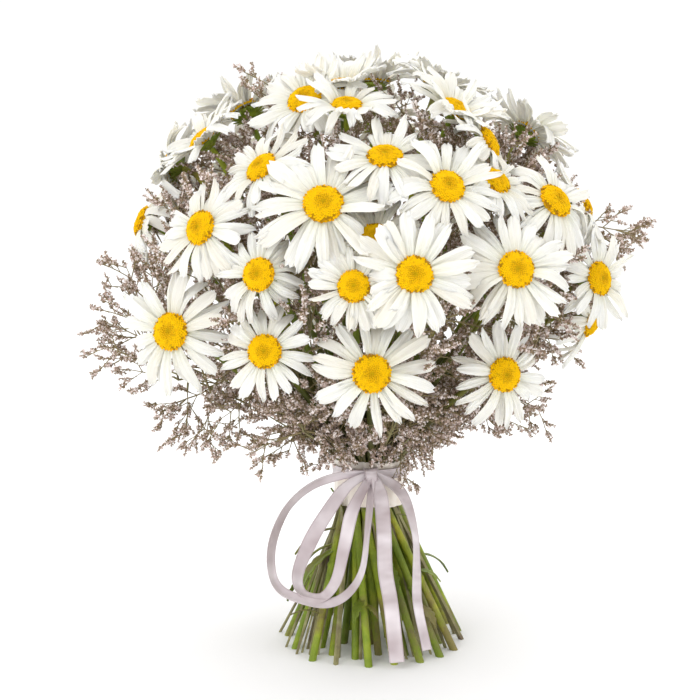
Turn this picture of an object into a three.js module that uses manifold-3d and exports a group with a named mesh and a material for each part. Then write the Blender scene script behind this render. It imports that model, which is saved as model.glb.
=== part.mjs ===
// A hand-tied bunch of white daisies with dried limonium between them. The green stems are wrapped in
// cream satin, tied with a pale lilac ribbon and cut level, so that the bunch stands on its cut ends.
// Millimetres, +Z up. The front of the bunch faces -Y, and the cut ends stand on z = 0.
import * as THREE from "three";
import { mergeVertices } from "three/addons/utils/BufferGeometryUtils.js";
import Module from "manifold-3d";

const wasm = await Module();
wasm.setup();

// Driving dimensions of the whole bunch
const DOME_REACH = 165;
const DOME_WIDEST_Z = 270;
const DOME_RISE = 138;
const DOME_FALL = 100;
const TIE_BOTTOM = 104;
const TIE_TOP = 137;
const CORE_BOTTOM = TIE_BOTTOM - 0.5;
const CORE_TOP = TIE_TOP + 0.5;
const TIE_RADIUS = 23;
const TIE_PACK = 20;
const STEM_PITCH = 5.6;
const FOOT_RADIUS = 68;
const FOOT_TWIST = 28;
const GAP = 0.3;

// One daisy
const PETALS = 13;
const PLATE = 1.2;
const RIDGE = 1.2;
const PETAL_HALF_WIDTH = 4.7;
const PETAL_CURL = -12;
const DISC_SIDES = 8;
const STEM_RADIUS = 2.6;
const STEM_SIDES = 4;
const CALYX_SHARE = 0.8;
const CALYX_DEPTH = 8;

// Limonium, ribbon and wrap
const TWIG_RADIUS = 0.8;
const FLORET_REACH = 4.4;
const SPIKE_LENGTH = 34;
const SPIKE_RINGS = 5;
const TWIG_TRIES = 60;
const GOLDEN_ANGLE = 137.508;
const SKIRT_TWIGS = 9;
const GAP_TWIGS = 20;
const HEAD_ROOM = 25;
const OUTER_PLAY = 4;
const INNER_PLAY = 10;
const RIBBON_WIDTH = 10.5;
const RIBBON_THICK = 0.8;
const BELT_BOTTOM = 117;
const BELT_TOP = 127;
const BELT_GAP = 1.1;
const KNOT_SIZE = [8, 6, 7];
const KNOT_PLACE = [3, -31.65, 123];
const LOOP_STEPS = 17;
const TAIL_STEPS = 6;
const WRAP_THICK = 1.2;
const HEM_FLARE = 1;

// Each daisy: name, group of heads whose petals touch, bearing round the axis (0 is the front, 90 the
// right), height of its disc, how far it stands out of the dome, bearing and lift that it faces, radius
// over its petals, and how far its petals are cupped (above 0) or bent back (below 0), in degrees.
const DAISIES = [
  ["a", 4, -12, 335, 4, 0, 34, 47, -4],
  ["b", 7, 9, 293, 8, 6, 16, 41, 2],
  ["c", 8, 34, 292, 4, 14, 18, 44, -4],
  ["g", 3, 20, 345, 3, 18, 36, 39, 4],
  ["h", 3, 4, 363, 2, 0, 58, 38, 2],
  ["i", 1, -12, 393, 4, 0, 70, 33, 6],
  ["k", 4, -33, 355, 1, -50, 42, 38, 0],
  ["l", 4, -45, 316, 2, -40, 20, 40, -4],
  ["e", 4, -55, 244, 4, -32, 12, 45, -2],
  ["o", 7, -4, 285, 2, 0, 18, 33, 0],
  ["d", 7, 0, 227, 6, 3, 7, 43, -4],
  ["m", 4, -26, 290, 1, -25, 18, 36, -12],
  ["n", 4, -26, 239, 1, -9, 12, 37, -6],
  ["j", 8, 54, 331, 3, 44, 36, 42, -14],
  ["f", 6, 37, 219, 4, 24, 6, 42, -6],
  ["p", 9, 72, 274, 0, 45, 12, 38, -4],
  ["q", 2, 43, 390, 2, 60, 58, 40, 22],
  ["r", 1, -41, 396, 0, -28, 46, 41, 4],
  ["s", 5, -76, 368, 2, -79, 50, 38, 16],
  ["t", 5, -94, 346, 2, -114, 5, 38, -16],
  ["u", 5, -92, 307, 2, -87, 22, 36, -24],
  ["w", 7, 1, 312, -16, 0, 38, 34, 8],
  ["x", 3, 38, 346, -6, 46, 45, 35, 0],
  ["y", 2, 44, 370, -2, 80, 30, 37, -10],
  ["z", 1, -30, 404, 0, -20, 82, 38, 22],
  ["ab", 2, 97, 402, 0, 105, 66, 40, 22],
  ["aa", 2, 175, 404, 0, 170, 76, 40, 14],
  ["ad", 5, -108, 384, 0, -140, 50, 41, 18],
  ["ae", 9, 84, 322, -4, 90, 30, 39, -10],
  ["v", 13, 92, 236, 4, 67, -20, 40, -22],
  ["ac", 9, 100, 370, 0, 120, 45, 41, 8],
  ["af", 10, 124, 300, 0, 124, 15, 41, -4],
  ["ag", 10, 128, 238, 2, 130, 5, 41, -6],
  ["ah", 11, 160, 268, 0, 160, 12, 43, -4],
  ["ai", 11, 150, 335, 0, 150, 35, 43, -2],
  ["an", 11, 176, 370, 0, 180, 50, 43, 4],
  ["aj", 12, -165, 305, 0, -165, 18, 44, -4],
  ["ak", 12, -170, 234, 2, -170, 5, 42, -8],
  ["al", 12, -138, 335, 0, -140, 32, 43, -2],
  ["am", 12, -128, 270, 0, -128, 10, 43, -6],
];

// The tips of the sprays that stand out of the bunch, as chosen by eye
const OUTER_TIPS = [
  [-204, 4, 238], [-198, -14, 219], [-184, 14, 279], [-187, -8, 252], [-178, -24, 203],
  [-168, 12, 324], [-152, -20, 172], [-132, -34, 154], [-112, -58, 158], [-64, -52, 146],
  [82, -50, 162], [128, -20, 176], [134, 26, 366], [202, 8, 298], [196, 26, 284],
  [182, -16, 258], [150, 70, 214], [120, 120, 176], [30, 150, 168], [-60, 140, 172],
  [-118, 98, 186], [-40, 178, 262], [60, 180, 300], [-104, 138, 322], [96, 118, 352],
  [0, 60, 420], [-70, -10, 414], [66, -66, 402],
];

const CREAM = new THREE.MeshStandardMaterial({ color: 0xf3e8d6, roughness: 0.45, metalness: 0 });
const LILAC = new THREE.MeshStandardMaterial({ color: 0xdfd3da, roughness: 0.35, metalness: 0 });
const WHITE = new THREE.MeshStandardMaterial({ color: 0xf7f6f0, roughness: 0.6, metalness: 0 });
const YELLOW = new THREE.MeshStandardMaterial({ color: 0xf6c20c, roughness: 0.85, metalness: 0 });
const GREEN = new THREE.MeshStandardMaterial({ color: 0x6f8f34, roughness: 0.7, metalness: 0 });
const MAUVE = new THREE.MeshStandardMaterial({ color: 0x97857c, roughness: 0.9, metalness: 0 });

const bunch = new THREE.Group();
const rad = THREE.MathUtils.degToRad;
const UP = new THREE.Vector3(0, 0, 1);

// Seeded numbers from 0 to 1, so that every build is the same
let seed = 20417;
function random() {
  seed = (seed * 1664525 + 1013904223) >>> 0;
  return seed / 4294967296;
}

function between(low, high) {
  return low + (high - low) * random();
}

// Unit vector at a bearing round the axis and a lift above the level
function direction(bearing, lift) {
  const b = rad(bearing);
  const l = rad(lift);
  return new THREE.Vector3(Math.sin(b) * Math.cos(l), -Math.cos(b) * Math.cos(l), Math.sin(l));
}

function domeReach(z) {
  const half = z > DOME_WIDEST_Z ? DOME_RISE : DOME_FALL;
  return DOME_REACH * Math.sqrt(Math.max(0, 1 - ((z - DOME_WIDEST_Z) / half) ** 2));
}

// Point that lies so far from another along a direction
function along(point, way, distance) {
  return point.clone().addScaledVector(way, distance);
}

function solidOf(points, triangles) {
  const vertProperties = new Float32Array(points.length * 3);
  points.forEach((p, i) => vertProperties.set([p.x, p.y, p.z], i * 3));
  const triVerts = new Uint32Array(triangles.flat());
  return new wasm.Manifold(new wasm.Mesh({ numProp: 3, vertProperties, triVerts }));
}

// Closed solid through rings of points, each ring counter-clockwise about the way that the rings go
function loft(rings) {
  const n = rings[0].length;
  const triangles = [];
  for (let r = 0; r + 1 < rings.length; r += 1) {
    for (let i = 0; i < n; i += 1) {
      const j = (i + 1) % n;
      const a = r * n;
      const b = a + n;
      triangles.push([a + i, a + j, b + j], [a + i, b + j, b + i]);
    }
  }
  const last = (rings.length - 1) * n;
  for (let i = 1; i + 1 < n; i += 1) {
    triangles.push([0, i + 1, i], [last, last + i, last + i + 1]);
  }
  return solidOf(rings.flat(), triangles);
}

// Cuts the first end of a tube level at z = 0
function cutLevel(rings) {
  rings[0].forEach((p) => p.setZ(0));
  return rings;
}

// Rings round a path. radiusAt(ring, side) gives each corner's distance from the path.
function tubeRings(path, sides, radiusAt) {
  let side = null;
  return path.map((point, r) => {
    const before = path[Math.max(0, r - 1)];
    const after = path[Math.min(path.length - 1, r + 1)];
    const way = after.clone().sub(before).normalize();
    const start = side || (Math.abs(way.x) < 0.7 ? new THREE.Vector3(1, 0, 0) : new THREE.Vector3(0, 1, 0));
    side = start.clone().addScaledVector(way, -start.dot(way)).normalize();
    const other = way.clone().cross(side);
    return Array.from({ length: sides }, (_, i) => {
      const a = (2 * Math.PI * i) / sides;
      const reach = radiusAt(r, i);
      return along(along(point, side, Math.cos(a) * reach), other, Math.sin(a) * reach);
    });
  });
}

function overlap(a, b) {
  const common = a.intersect(b);
  const volume = common.volume();
  common.delete();
  return volume;
}

function boxesMeet(a, b) {
  return [0, 1, 2].every((k) => a.min[k] <= b.max[k] && b.min[k] <= a.max[k]);
}

// What is already in place: each entry keeps a solid, its box and the name of what it belongs to.
const placed = [];

function place(solid, owner, group) {
  placed.push({ solid, owner, group, box: solid.boundingBox() });
}

// True where a solid keeps clear of all that is in place, apart from what may be passed over
function isClear(solid, passOver) {
  const box = solid.boundingBox();
  return !placed.some(
    (p) => !passOver(p) && boxesMeet(box, p.box) && overlap(solid, p.solid) > 1e-4,
  );
}

function union(solids) {
  return wasm.Manifold.union(solids);
}

function addNode(name, solid, material) {
  const bodies = solid.decompose();
  const largest = bodies.reduce((a, b) => (b.volume() > a.volume() ? b : a));
  const scrap = bodies.reduce((sum, b) => sum + b.volume(), 0) - largest.volume();
  if (scrap > 0.01 * largest.volume()) {
    throw new Error(name + " doesn't hold together: " + bodies.map((b) => b.volume().toFixed(0)).join(" "));
  }
  const mesh = largest.getMesh();
  const geometry = new THREE.BufferGeometry();
  geometry.setAttribute("position", new THREE.BufferAttribute(mesh.vertProperties, mesh.numProp));
  geometry.setIndex(new THREE.BufferAttribute(mesh.triVerts, 1));
  const node = new THREE.Mesh(geometry, material);
  node.name = name;
  bunch.add(node);
}

// Where each daisy stands and how it is turned
const daisies = DAISIES.map(([name, group, bearing, height, out, facing, lift, reach, cup]) => {
  const around = direction(bearing, 0);
  const centre = along(new THREE.Vector3(0, 0, height), around, domeReach(height) + out);
  const face = direction(facing, lift);
  const across = UP.clone().cross(face).normalize();
  const tilt = Math.atan2(domeReach(height), height - TIE_TOP);
  return {
    name,
    group,
    bearing,
    centre,
    face,
    across,
    upward: face.clone().cross(across),
    reach,
    cup,
    disc: 6 + 0.155 * reach,
    twist: between(0, 1),
    tieRadius: TIE_PACK * Math.min(1, tilt / rad(60)),
  };
});

// One limonium plant for each quarter: a bare stalk up through the tie, with twigs that end in spikes
const limoniums = ["left_front", "right_front", "right_back", "left_back"].map((name, i) => ({
  name: "limonium_" + name,
  bearing: -45 + 90 * i,
  tieRadius: 16,
  parts: [],
}));

// Where each stem passes the tie, level with its head's bearing at first, then pushed apart until the
// stems lie side by side
const tied = [...daisies, ...limoniums];
tied.forEach((s) => {
  s.slot = along(new THREE.Vector3(), direction(s.bearing, 0), s.tieRadius);
});
for (let round = 0; round < 200; round += 1) {
  tied.forEach((a, i) => {
    tied.slice(i + 1).forEach((b) => {
      const apart = b.slot.clone().sub(a.slot);
      const short = STEM_PITCH - apart.length();
      if (short <= 0) return;
      a.slot.addScaledVector(apart.normalize(), -0.5 * short);
      b.slot.addScaledVector(apart, 0.5 * short);
    });
  });
  tied.forEach((s) => s.slot.clampLength(0, TIE_PACK));
}

// Below the tie the stems splay to their cut ends, all turned the same way round
function footPoint(slot) {
  const foot = slot.clone().applyAxisAngle(UP, rad(FOOT_TWIST));
  return foot.multiplyScalar(FOOT_RADIUS / TIE_PACK);
}

// Path of a stem from its cut end up through the tie, and on to a head that looks along face
function stemPath(stem, head, face, bow) {
  const low = stem.slot.clone().setZ(CORE_BOTTOM + 1);
  const top = stem.slot.clone().setZ(CORE_TOP - 0.6);
  const rise = head.clone().sub(top).normalize();
  const curve = new THREE.CubicBezierCurve3(top, along(top, rise, bow * 1.6), along(head, face, -bow), head);
  return [footPoint(stem.slot), low, ...curve.getPoints(3)];
}

// Stem and calyx of a daisy in one loft, swollen all round where room is wanted about it
function stemSolid(d, swell) {
  const under = PLATE / 2 + GAP - swell;
  const neck = along(d.centre, d.face, -CALYX_DEPTH);
  const path = stemPath(d, neck, d.face, 34);
  path.push(along(d.centre, d.face, -under));
  const radii = path.map(() => STEM_RADIUS + swell);
  radii[path.length - 1] = CALYX_SHARE * d.disc + swell;
  return loft(cutLevel(tubeRings(path, STEM_SIDES, (r) => radii[r])));
}

// The disc is a low dome with a dimple, its florets raised in turn round two rings
function discSolid(d, swell) {
  const low = PLATE / 2 + GAP - swell;
  const rings = [
    [low, d.disc, 0],
    [low + 0.24 * d.disc, 0.93 * d.disc, 0.5],
    [low + 0.4 * d.disc, 0.5 * d.disc, 0.7],
  ];
  const points = [along(d.centre, d.face, low)];
  const ring = ([height, radius, relief]) => {
    for (let i = 0; i < DISC_SIDES; i += 1) {
      const a = (2 * Math.PI * i) / DISC_SIDES;
      const lift = height + (i % 2 ? relief : -relief) + swell;
      const flat = along(d.centre, d.across, Math.cos(a) * (radius + swell));
      points.push(along(along(flat, d.upward, Math.sin(a) * (radius + swell)), d.face, lift - (relief ? 0 : swell)));
    }
  };
  rings.forEach(ring);
  points.push(along(d.centre, d.face, low + 0.32 * d.disc + swell));
  const triangles = [];
  const n = DISC_SIDES;
  for (let i = 0; i < n; i += 1) {
    const j = (i + 1) % n;
    triangles.push([0, 1 + j, 1 + i]);
    for (let r = 0; r < 2; r += 1) {
      const a = 1 + r * n;
      const b = a + n;
      triangles.push([a + i, a + j, b + j], [a + i, b + j, b + i]);
    }
    triangles.push([1 + 2 * n + i, 1 + 2 * n + j, 1 + 3 * n]);
  }
  return solidOf(points, triangles);
}

// Corners of one petal. It springs from the rim between two valleys, widens to its shoulders and ends
// in a tip that curls back. Its underside is a shallow ridge.
function petalCorners(d, { i, bend, stretch, turn = 0 }, swell) {
  const pitch = (2 * Math.PI) / PETALS;
  const ray = (angle) => d.across.clone().multiplyScalar(Math.cos(angle)).addScaledVector(d.upward, Math.sin(angle));
  const angle = pitch * (i + d.twist);
  const out = ray(angle + rad(turn));
  const side = ray(angle + rad(turn + 90));
  const rim = d.disc + 0.6;
  const length = (d.reach - rim) * stretch;
  const rise = rad(bend);
  const fall = rad(bend + PETAL_CURL);
  const first = out.clone().multiplyScalar(Math.cos(rise)).addScaledVector(d.face, Math.sin(rise));
  const second = out.clone().multiplyScalar(Math.cos(fall)).addScaledVector(d.face, Math.sin(fall));
  const normal = d.face.clone().multiplyScalar(Math.cos(rise)).addScaledVector(out, -Math.sin(rise));
  const root = along(along(d.centre, out, rim), d.face, PLATE / 2);
  const middle = along(root, first, 0.58 * length);
  const valley = (step, height) => along(along(d.centre, ray(angle + step * pitch * 0.5), rim), d.face, height);
  const half = PETAL_HALF_WIDTH + swell;
  return {
    topA: valley(-1, PLATE / 2),
    topB: valley(1, PLATE / 2),
    lowA: valley(-1, -PLATE / 2),
    lowB: valley(1, -PLATE / 2),
    left: along(middle, side, -half),
    right: along(middle, side, half),
    tip: along(middle, second, 0.42 * length + swell),
    ridge: along(middle, normal, -RIDGE),
    normal,
  };
}

// Room that a petal takes up: its outline, thickened above and below
function petalRoom(d, petal, swell) {
  const c = petalCorners(d, petal, swell);
  const outline = [c.topA, c.left, c.tip, c.right, c.topB];
  const low = outline.map((p) => along(p, c.normal, -RIDGE - swell));
  const high = outline.map((p) => along(p, c.normal, swell));
  return loft([low, high]);
}

// The petals of one head with the flat plate that they spring from, as one closed body
function headSolid(d, petals) {
  const points = [];
  const add = (p) => points.push(p) - 1;
  const triangles = [];
  const ring = Array.from({ length: PETALS }, (_, i) => {
    const c = petalCorners(d, { i, bend: 0, stretch: 1 }, 0);
    return [add(c.topA), add(c.lowA)];
  });
  for (let i = 1; i + 1 < PETALS; i += 1) {
    triangles.push([ring[0][0], ring[i][0], ring[i + 1][0]]);
    triangles.push([ring[0][1], ring[i + 1][1], ring[i][1]]);
  }
  ring.forEach(([topA, lowA], i) => {
    const [topB, lowB] = ring[(i + 1) % PETALS];
    const petal = petals[i];
    if (!petal) {
      triangles.push([topA, lowA, lowB], [topA, lowB, topB]);
      return;
    }
    const c = petalCorners(d, petal, 0);
    const left = add(c.left);
    const right = add(c.right);
    const tip = add(c.tip);
    const ridge = add(c.ridge);
    triangles.push([topA, left, topB], [left, right, topB], [left, tip, right]);
    triangles.push([ridge, left, lowA], [ridge, tip, left], [ridge, right, tip], [ridge, lowB, right]);
    triangles.push([ridge, lowA, lowB], [topA, lowA, left], [topB, right, lowB]);
  });
  return solidOf(points, triangles);
}

// Bends and lengths that a petal tries, one after another, until it lies clear
const BENDS = [0, -10, 10, -20, 20, -32, 32, -45, 45];
const STRETCHES = [1, 0.82, 0.62];

function petalChoices(d, i) {
  const own = d.cup + between(-5, 5);
  const length = between(0.93, 1.03);
  return STRETCHES.flatMap((s) => BENDS.map((b) => ({ i, bend: own + b, stretch: s * length })));
}

// The ways in which a petal may reach out for its group: bent, longer than its neighbours and turned
function linkChoices(choices) {
  const ways = [];
  for (let bend = 0; bend <= 64; bend += 8) {
    [1, 1.1, 1.2, 1.28].forEach((stretch) => {
      [0, -9, 9].forEach((turn) => ways.push({ bend, stretch, turn }, { bend: -bend, stretch, turn }));
    });
  }
  return ways.flatMap((way) => choices.map(([first]) => ({ ...way, i: first.i })));
}

// Chooses the petals of a head: clear of every other node, clear of its group where that can be, and
// with one petal that crosses a petal of its group, so that the group holds together.
function choosePetals(d) {
  const ownParts = (p) => p.owner === d.name;
  const groupPetals = (p) => p.owner === d.name || p.group === d.group;
  const choices = Array.from({ length: PETALS }, (_, i) => petalChoices(d, i));
  const clear = (c, passOver) => {
    const room = petalRoom(d, c, GAP);
    const free = isClear(room, passOver);
    room.delete();
    return free;
  };
  const petals = choices.map(
    (list) => list.find((c) => clear(c, ownParts)) || list.find((c) => clear(c, groupPetals)) || null,
  );
  const mates = placed.filter((p) => p.group === d.group && p.core);
  const crosses = (c) => {
    const room = petalRoom(d, c, -0.15);
    const box = room.boundingBox();
    const hit = mates.some((p) => boxesMeet(box, p.box) && overlap(room, p.core) > 3);
    room.delete();
    return hit;
  };
  if (mates.length && !petals.some((c) => c && crosses(c))) {
    const link = linkChoices(choices).find((c) => crosses(c) && clear(c, groupPetals));
    if (!link) throw new Error("daisy " + d.name + " doesn't reach its group " + d.group);
    petals[link.i] = link;
  }
  petals.filter(Boolean).forEach((c) => {
    place(petalRoom(d, c, GAP), d.name, d.group);
    placed[placed.length - 1].core = petalRoom(d, c, -0.15);
  });
  return petals;
}

function stalkPath(plant) {
  const crown = along(new THREE.Vector3(0, 0, 200), direction(plant.bearing, 0), 56);
  return stemPath(plant, crown, direction(plant.bearing, 50), 16);
}

// A twig with its spike: the corners of each ring of the spike stand out by turns as florets
function twigSolid(path, spikeFrom, swell) {
  return loft(
    tubeRings(path, 4, (r, i) => {
      const last = r === path.length - 1;
      if (r < spikeFrom) return TWIG_RADIUS + swell;
      if (last) return 0.5 + swell;
      return ((r + i) % 2 ? FLORET_REACH : FLORET_REACH * 0.3) + swell;
    }),
  );
}

function twigPath(from, to, sag) {
  const middle = from.clone().lerp(to, 0.5).add(new THREE.Vector3(0, 0, sag));
  const curve = new THREE.QuadraticBezierCurve3(from, middle, to);
  const share = Math.min(0.6, SPIKE_LENGTH / curve.getLength());
  const stops = [0, 0.5 * (1 - share), 1 - share];
  for (let i = 1; i <= SPIKE_RINGS; i += 1) stops.push(1 - share + (share * i) / SPIKE_RINGS);
  return stops.map((t) => curve.getPointAt(t));
}

// Adds a twig from one of the plant's nearest sprouting points to a tip, moved a little at each try
// until it lies clear. Only its root may run into its own plant.
function addTwig(plant, tip, play) {
  for (let attempt = 0; attempt < TWIG_TRIES; attempt += 1) {
    const to = tip.clone().add(new THREE.Vector3(...[0, 1, 2].map(() => between(-play, play))));
    const near = plant.sprouts.filter((s) => s.distanceTo(to) > 1.3 * SPIKE_LENGTH);
    near.sort((a, b) => a.distanceTo(to) - b.distanceTo(to));
    const from = near[Math.floor(between(0, Math.min(near.length, 10)))];
    const path = twigPath(from, to, between(-24, 14));
    const whole = twigSolid(path, 3, GAP);
    const free = twigSolid(path.slice(1), 2, GAP);
    if (isClear(whole, (p) => p.owner === plant.name) && isClear(free, () => false)) {
      plant.parts.push(twigSolid(path, 3, 0));
      place(free, plant.name);
      plant.sprouts.push(path[1], path[2]);
      return;
    }
    whole.delete();
    free.delete();
  }
}

// Stems and discs come first, because the petals and twigs bend clear of them
const stems = daisies.map((d) => {
  place(stemSolid(d, GAP), d.name);
  place(discSolid(d, GAP), d.name);
  return stemSolid(d, 0);
});

const heads = new Map();
daisies.forEach((d) => {
  const solid = headSolid(d, choosePetals(d));
  heads.set(d.group, [...(heads.get(d.group) || []), solid]);
});

// A leaf on a lower stem: a thin arched blade with blunt teeth, its midrib raised. It springs from the
// middle of the stem and leans away from the axis.
const LEAVES = [
  ["e", 0.5, -128, -48, 34],
  ["n", 0.4, -70, -55, 30],
  ["p", 0.42, 60, -40, 30],
  ["ah", 0.35, 165, -30, 36],
];
const LEAF_STATIONS = [0.9, 3.6, 2.6, 4.4, 2.8, 3.2, 0.4];

function leafSolid([name, share, bearing, lift, length]) {
  const stem = tied.find((s) => s.name === name);
  const start = footPoint(stem.slot).lerp(stem.slot.clone().setZ(CORE_BOTTOM), share);
  const way = direction(bearing, lift);
  const side = UP.clone().cross(way).normalize();
  const normal = way.clone().cross(side);
  const last = LEAF_STATIONS.length - 1;
  const rings = LEAF_STATIONS.map((half, i) => {
    const t = i / last;
    const middle = along(along(start, way, t * length), normal, 5 * Math.sin(Math.PI * t));
    const edges = [half, -half].map((reach) => along(middle, side, reach));
    return [along(middle, normal, -0.5), edges[0], along(middle, normal, 0.5), edges[1]];
  });
  return loft(rings);
}

// The pressed stems fill the wrap as one body
const coreEnds = [CORE_BOTTOM, CORE_TOP].map((z) => new THREE.Vector3(0, 0, z));
const core = loft(tubeRings(coreEnds, 24, () => TIE_RADIUS));

limoniums.forEach((plant) => {
  const path = stalkPath(plant);
  plant.sprouts = new THREE.CatmullRomCurve3(path.slice(2)).getPoints(12).slice(2);
  plant.parts.push(loft(cutLevel(tubeRings(path, 5, () => 2))));
  plant.room = loft(cutLevel(tubeRings(path, 5, () => 2 + GAP)));
  place(plant.room, plant.name);
});

function plantOf(point) {
  const bearing = THREE.MathUtils.radToDeg(Math.atan2(point.x, -point.y));
  return limoniums[((Math.floor(bearing / 90) + 4) % 4 + 1) % 4];
}

// A spray whose way out is blocked at every try is left out
OUTER_TIPS.forEach(([x, y, z]) => {
  const tip = new THREE.Vector3(x, y, z);
  addTwig(plantOf(tip), tip, OUTER_PLAY);
});

// The rest fills the skirt of the bunch, just above the tie, and the gaps between the heads
for (let i = 0; i < SKIRT_TWIGS; i += 1) {
  const rise = i / SKIRT_TWIGS;
  const tip = along(new THREE.Vector3(0, 0, 158 + 40 * rise), direction(i * GOLDEN_ANGLE, 0), 66 + 44 * rise);
  addTwig(plantOf(tip), tip, INNER_PLAY);
}
for (let i = 0; i < GAP_TWIGS; i += 1) {
  const z = 205 + 190 * ((i + 0.5) / GAP_TWIGS);
  const tip = along(new THREE.Vector3(0, 0, z), direction(i * GOLDEN_ANGLE, 0), domeReach(z));
  const nearest = Math.min(...daisies.map((d) => d.centre.distanceTo(tip)));
  if (nearest > HEAD_ROOM) addTwig(plantOf(tip), tip, INNER_PLAY);
}

const stalkRoom = union(limoniums.map((plant) => plant.room));
addNode("stems", union([core, ...stems, ...LEAVES.map(leafSolid)]).subtract(stalkRoom), GREEN);
daisies.forEach((d) => addNode("disc_" + d.name, discSolid(d, 0), YELLOW));
[...heads].forEach(([group, solids]) => addNode("petals_" + group, union(solids), WHITE));
limoniums.forEach((plant) => addNode(plant.name, union(plant.parts), MAUVE));

// The wrap is a satin ring, a little wider at its hems
const wrapInner = TIE_RADIUS + GAP;
const wrapOuter = wrapInner + WRAP_THICK;
const wrapMiddle = (TIE_TOP + TIE_BOTTOM) / 2;
const wrapProfile = [
  [wrapInner + HEM_FLARE, TIE_BOTTOM],
  [wrapOuter + HEM_FLARE, TIE_BOTTOM],
  [wrapOuter, wrapMiddle],
  [wrapOuter + HEM_FLARE, TIE_TOP],
  [wrapInner + HEM_FLARE, TIE_TOP],
  [wrapInner, wrapMiddle],
  [wrapInner + HEM_FLARE, TIE_BOTTOM],
].map(([r, z]) => new THREE.Vector2(r, z));

function closedSolid(geometry) {
  geometry.deleteAttribute("normal");
  geometry.deleteAttribute("uv");
  const merged = mergeVertices(geometry, 1e-4);
  const vertProperties = merged.attributes.position.array;
  return new wasm.Manifold(new wasm.Mesh({ numProp: 3, vertProperties, triVerts: new Uint32Array(merged.index.array) }));
}

const wrapShape = new THREE.LatheGeometry(wrapProfile, 20).rotateX(Math.PI / 2);
const wrap = closedSolid(wrapShape);
addNode("wrap", wrap, CREAM);

// Ribbon strips: points along the middle of the strip, each with the share of its width that faces the
// front. The rest of the width lies along Y, where the strip turns its edge to the front.
const LOOP_OUTER = [
  [2, -33, 128, 0.9], [-20, -38, 131, 0.9], [-41, -43, 126, 0.75], [-58, -47, 110, 0.6],
  [-68, -54, 88, 0.45], [-70, -60, 68, 0.35], [-64, -63, 52, 0.35], [-48, -65, 44, 0.4],
  [-30, -67, 42, 0.45], [-16, -67, 50, 0.5], [-6, -63, 66, 0.45], [-2, -56, 92, 0.4], [2, -33, 126, 0.9],
];
const LOOP_INNER = [
  [2, -33, 130, 0.9], [-16, -37, 124, 0.9], [-31, -43, 105, 0.95], [-43, -49, 84, 1], [-51, -53, 62, 0.8],
  [-47, -57, 50, 0.35], [-34, -60, 48, 0.35], [-24, -58, 60, 0.6], [-18, -52, 84, 0.8],
  [-12, -44, 108, 0.9], [2, -33, 127, 0.9],
];
const TAIL_FRONT = [
  [3, -33, 128, 0.9], [8, -37, 112, 1], [10, -47, 92, 1], [11, -58, 66, 1], [15, -66, 42, 1], [19, -77, 6, 1],
];
const TAIL_SIDE = [
  [4, -33, 128, 0.6], [20, -37, 114, 0.5], [28, -46, 92, 0.6], [32, -56, 66, 0.6], [34, -64, 44, 0.6],
  [40, -74, 14, 0.6],
];

function shareAt(points, t) {
  const at = t * (points.length - 1);
  const i = Math.min(points.length - 2, Math.floor(at));
  return THREE.MathUtils.lerp(points[i][3], points[i + 1][3], at - i);
}

function stripSolid(points, steps) {
  const curve = new THREE.CatmullRomCurve3(points.map(([x, y, z]) => new THREE.Vector3(x, y, z)));
  const rings = curve.getPoints(steps).map((point, i) => {
    const way = curve.getTangent(i / steps);
    const share = shareAt(points, i / steps);
    const side = way.clone().cross(new THREE.Vector3(0, 1, 0)).normalize().multiplyScalar(share);
    side.y += Math.sqrt(1 - share * share);
    side.addScaledVector(way, -side.dot(way)).normalize();
    const normal = way.clone().cross(side);
    const corner = (a, b) => along(along(point, side, (a * RIBBON_WIDTH) / 2), normal, (b * RIBBON_THICK) / 2);
    return [corner(-1, -1), corner(1, -1), corner(1, 1), corner(-1, 1)];
  });
  return loft(rings);
}

const beltInner = wrapOuter + BELT_GAP;
const beltOuter = beltInner + RIBBON_THICK;
const beltProfile = [
  [beltInner, BELT_BOTTOM],
  [beltOuter, BELT_BOTTOM],
  [beltOuter, BELT_TOP],
  [beltInner, BELT_TOP],
  [beltInner, BELT_BOTTOM],
].map(([r, z]) => new THREE.Vector2(r, z));
const belt = closedSolid(new THREE.LatheGeometry(beltProfile, 20).rotateX(Math.PI / 2));
const knot = closedSolid(new THREE.SphereGeometry(1, 7, 4).scale(...KNOT_SIZE).translate(...KNOT_PLACE));
const ribbon = [
  belt,
  knot,
  stripSolid(LOOP_OUTER, LOOP_STEPS),
  stripSolid(LOOP_INNER, LOOP_STEPS - 3),
  stripSolid(TAIL_FRONT, TAIL_STEPS),
  stripSolid(TAIL_SIDE, TAIL_STEPS),
];
addNode("ribbon", union(ribbon), LILAC);

export default bunch;
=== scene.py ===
import math
import random

import bmesh
import bpy
from mathutils import Matrix, Vector


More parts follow.
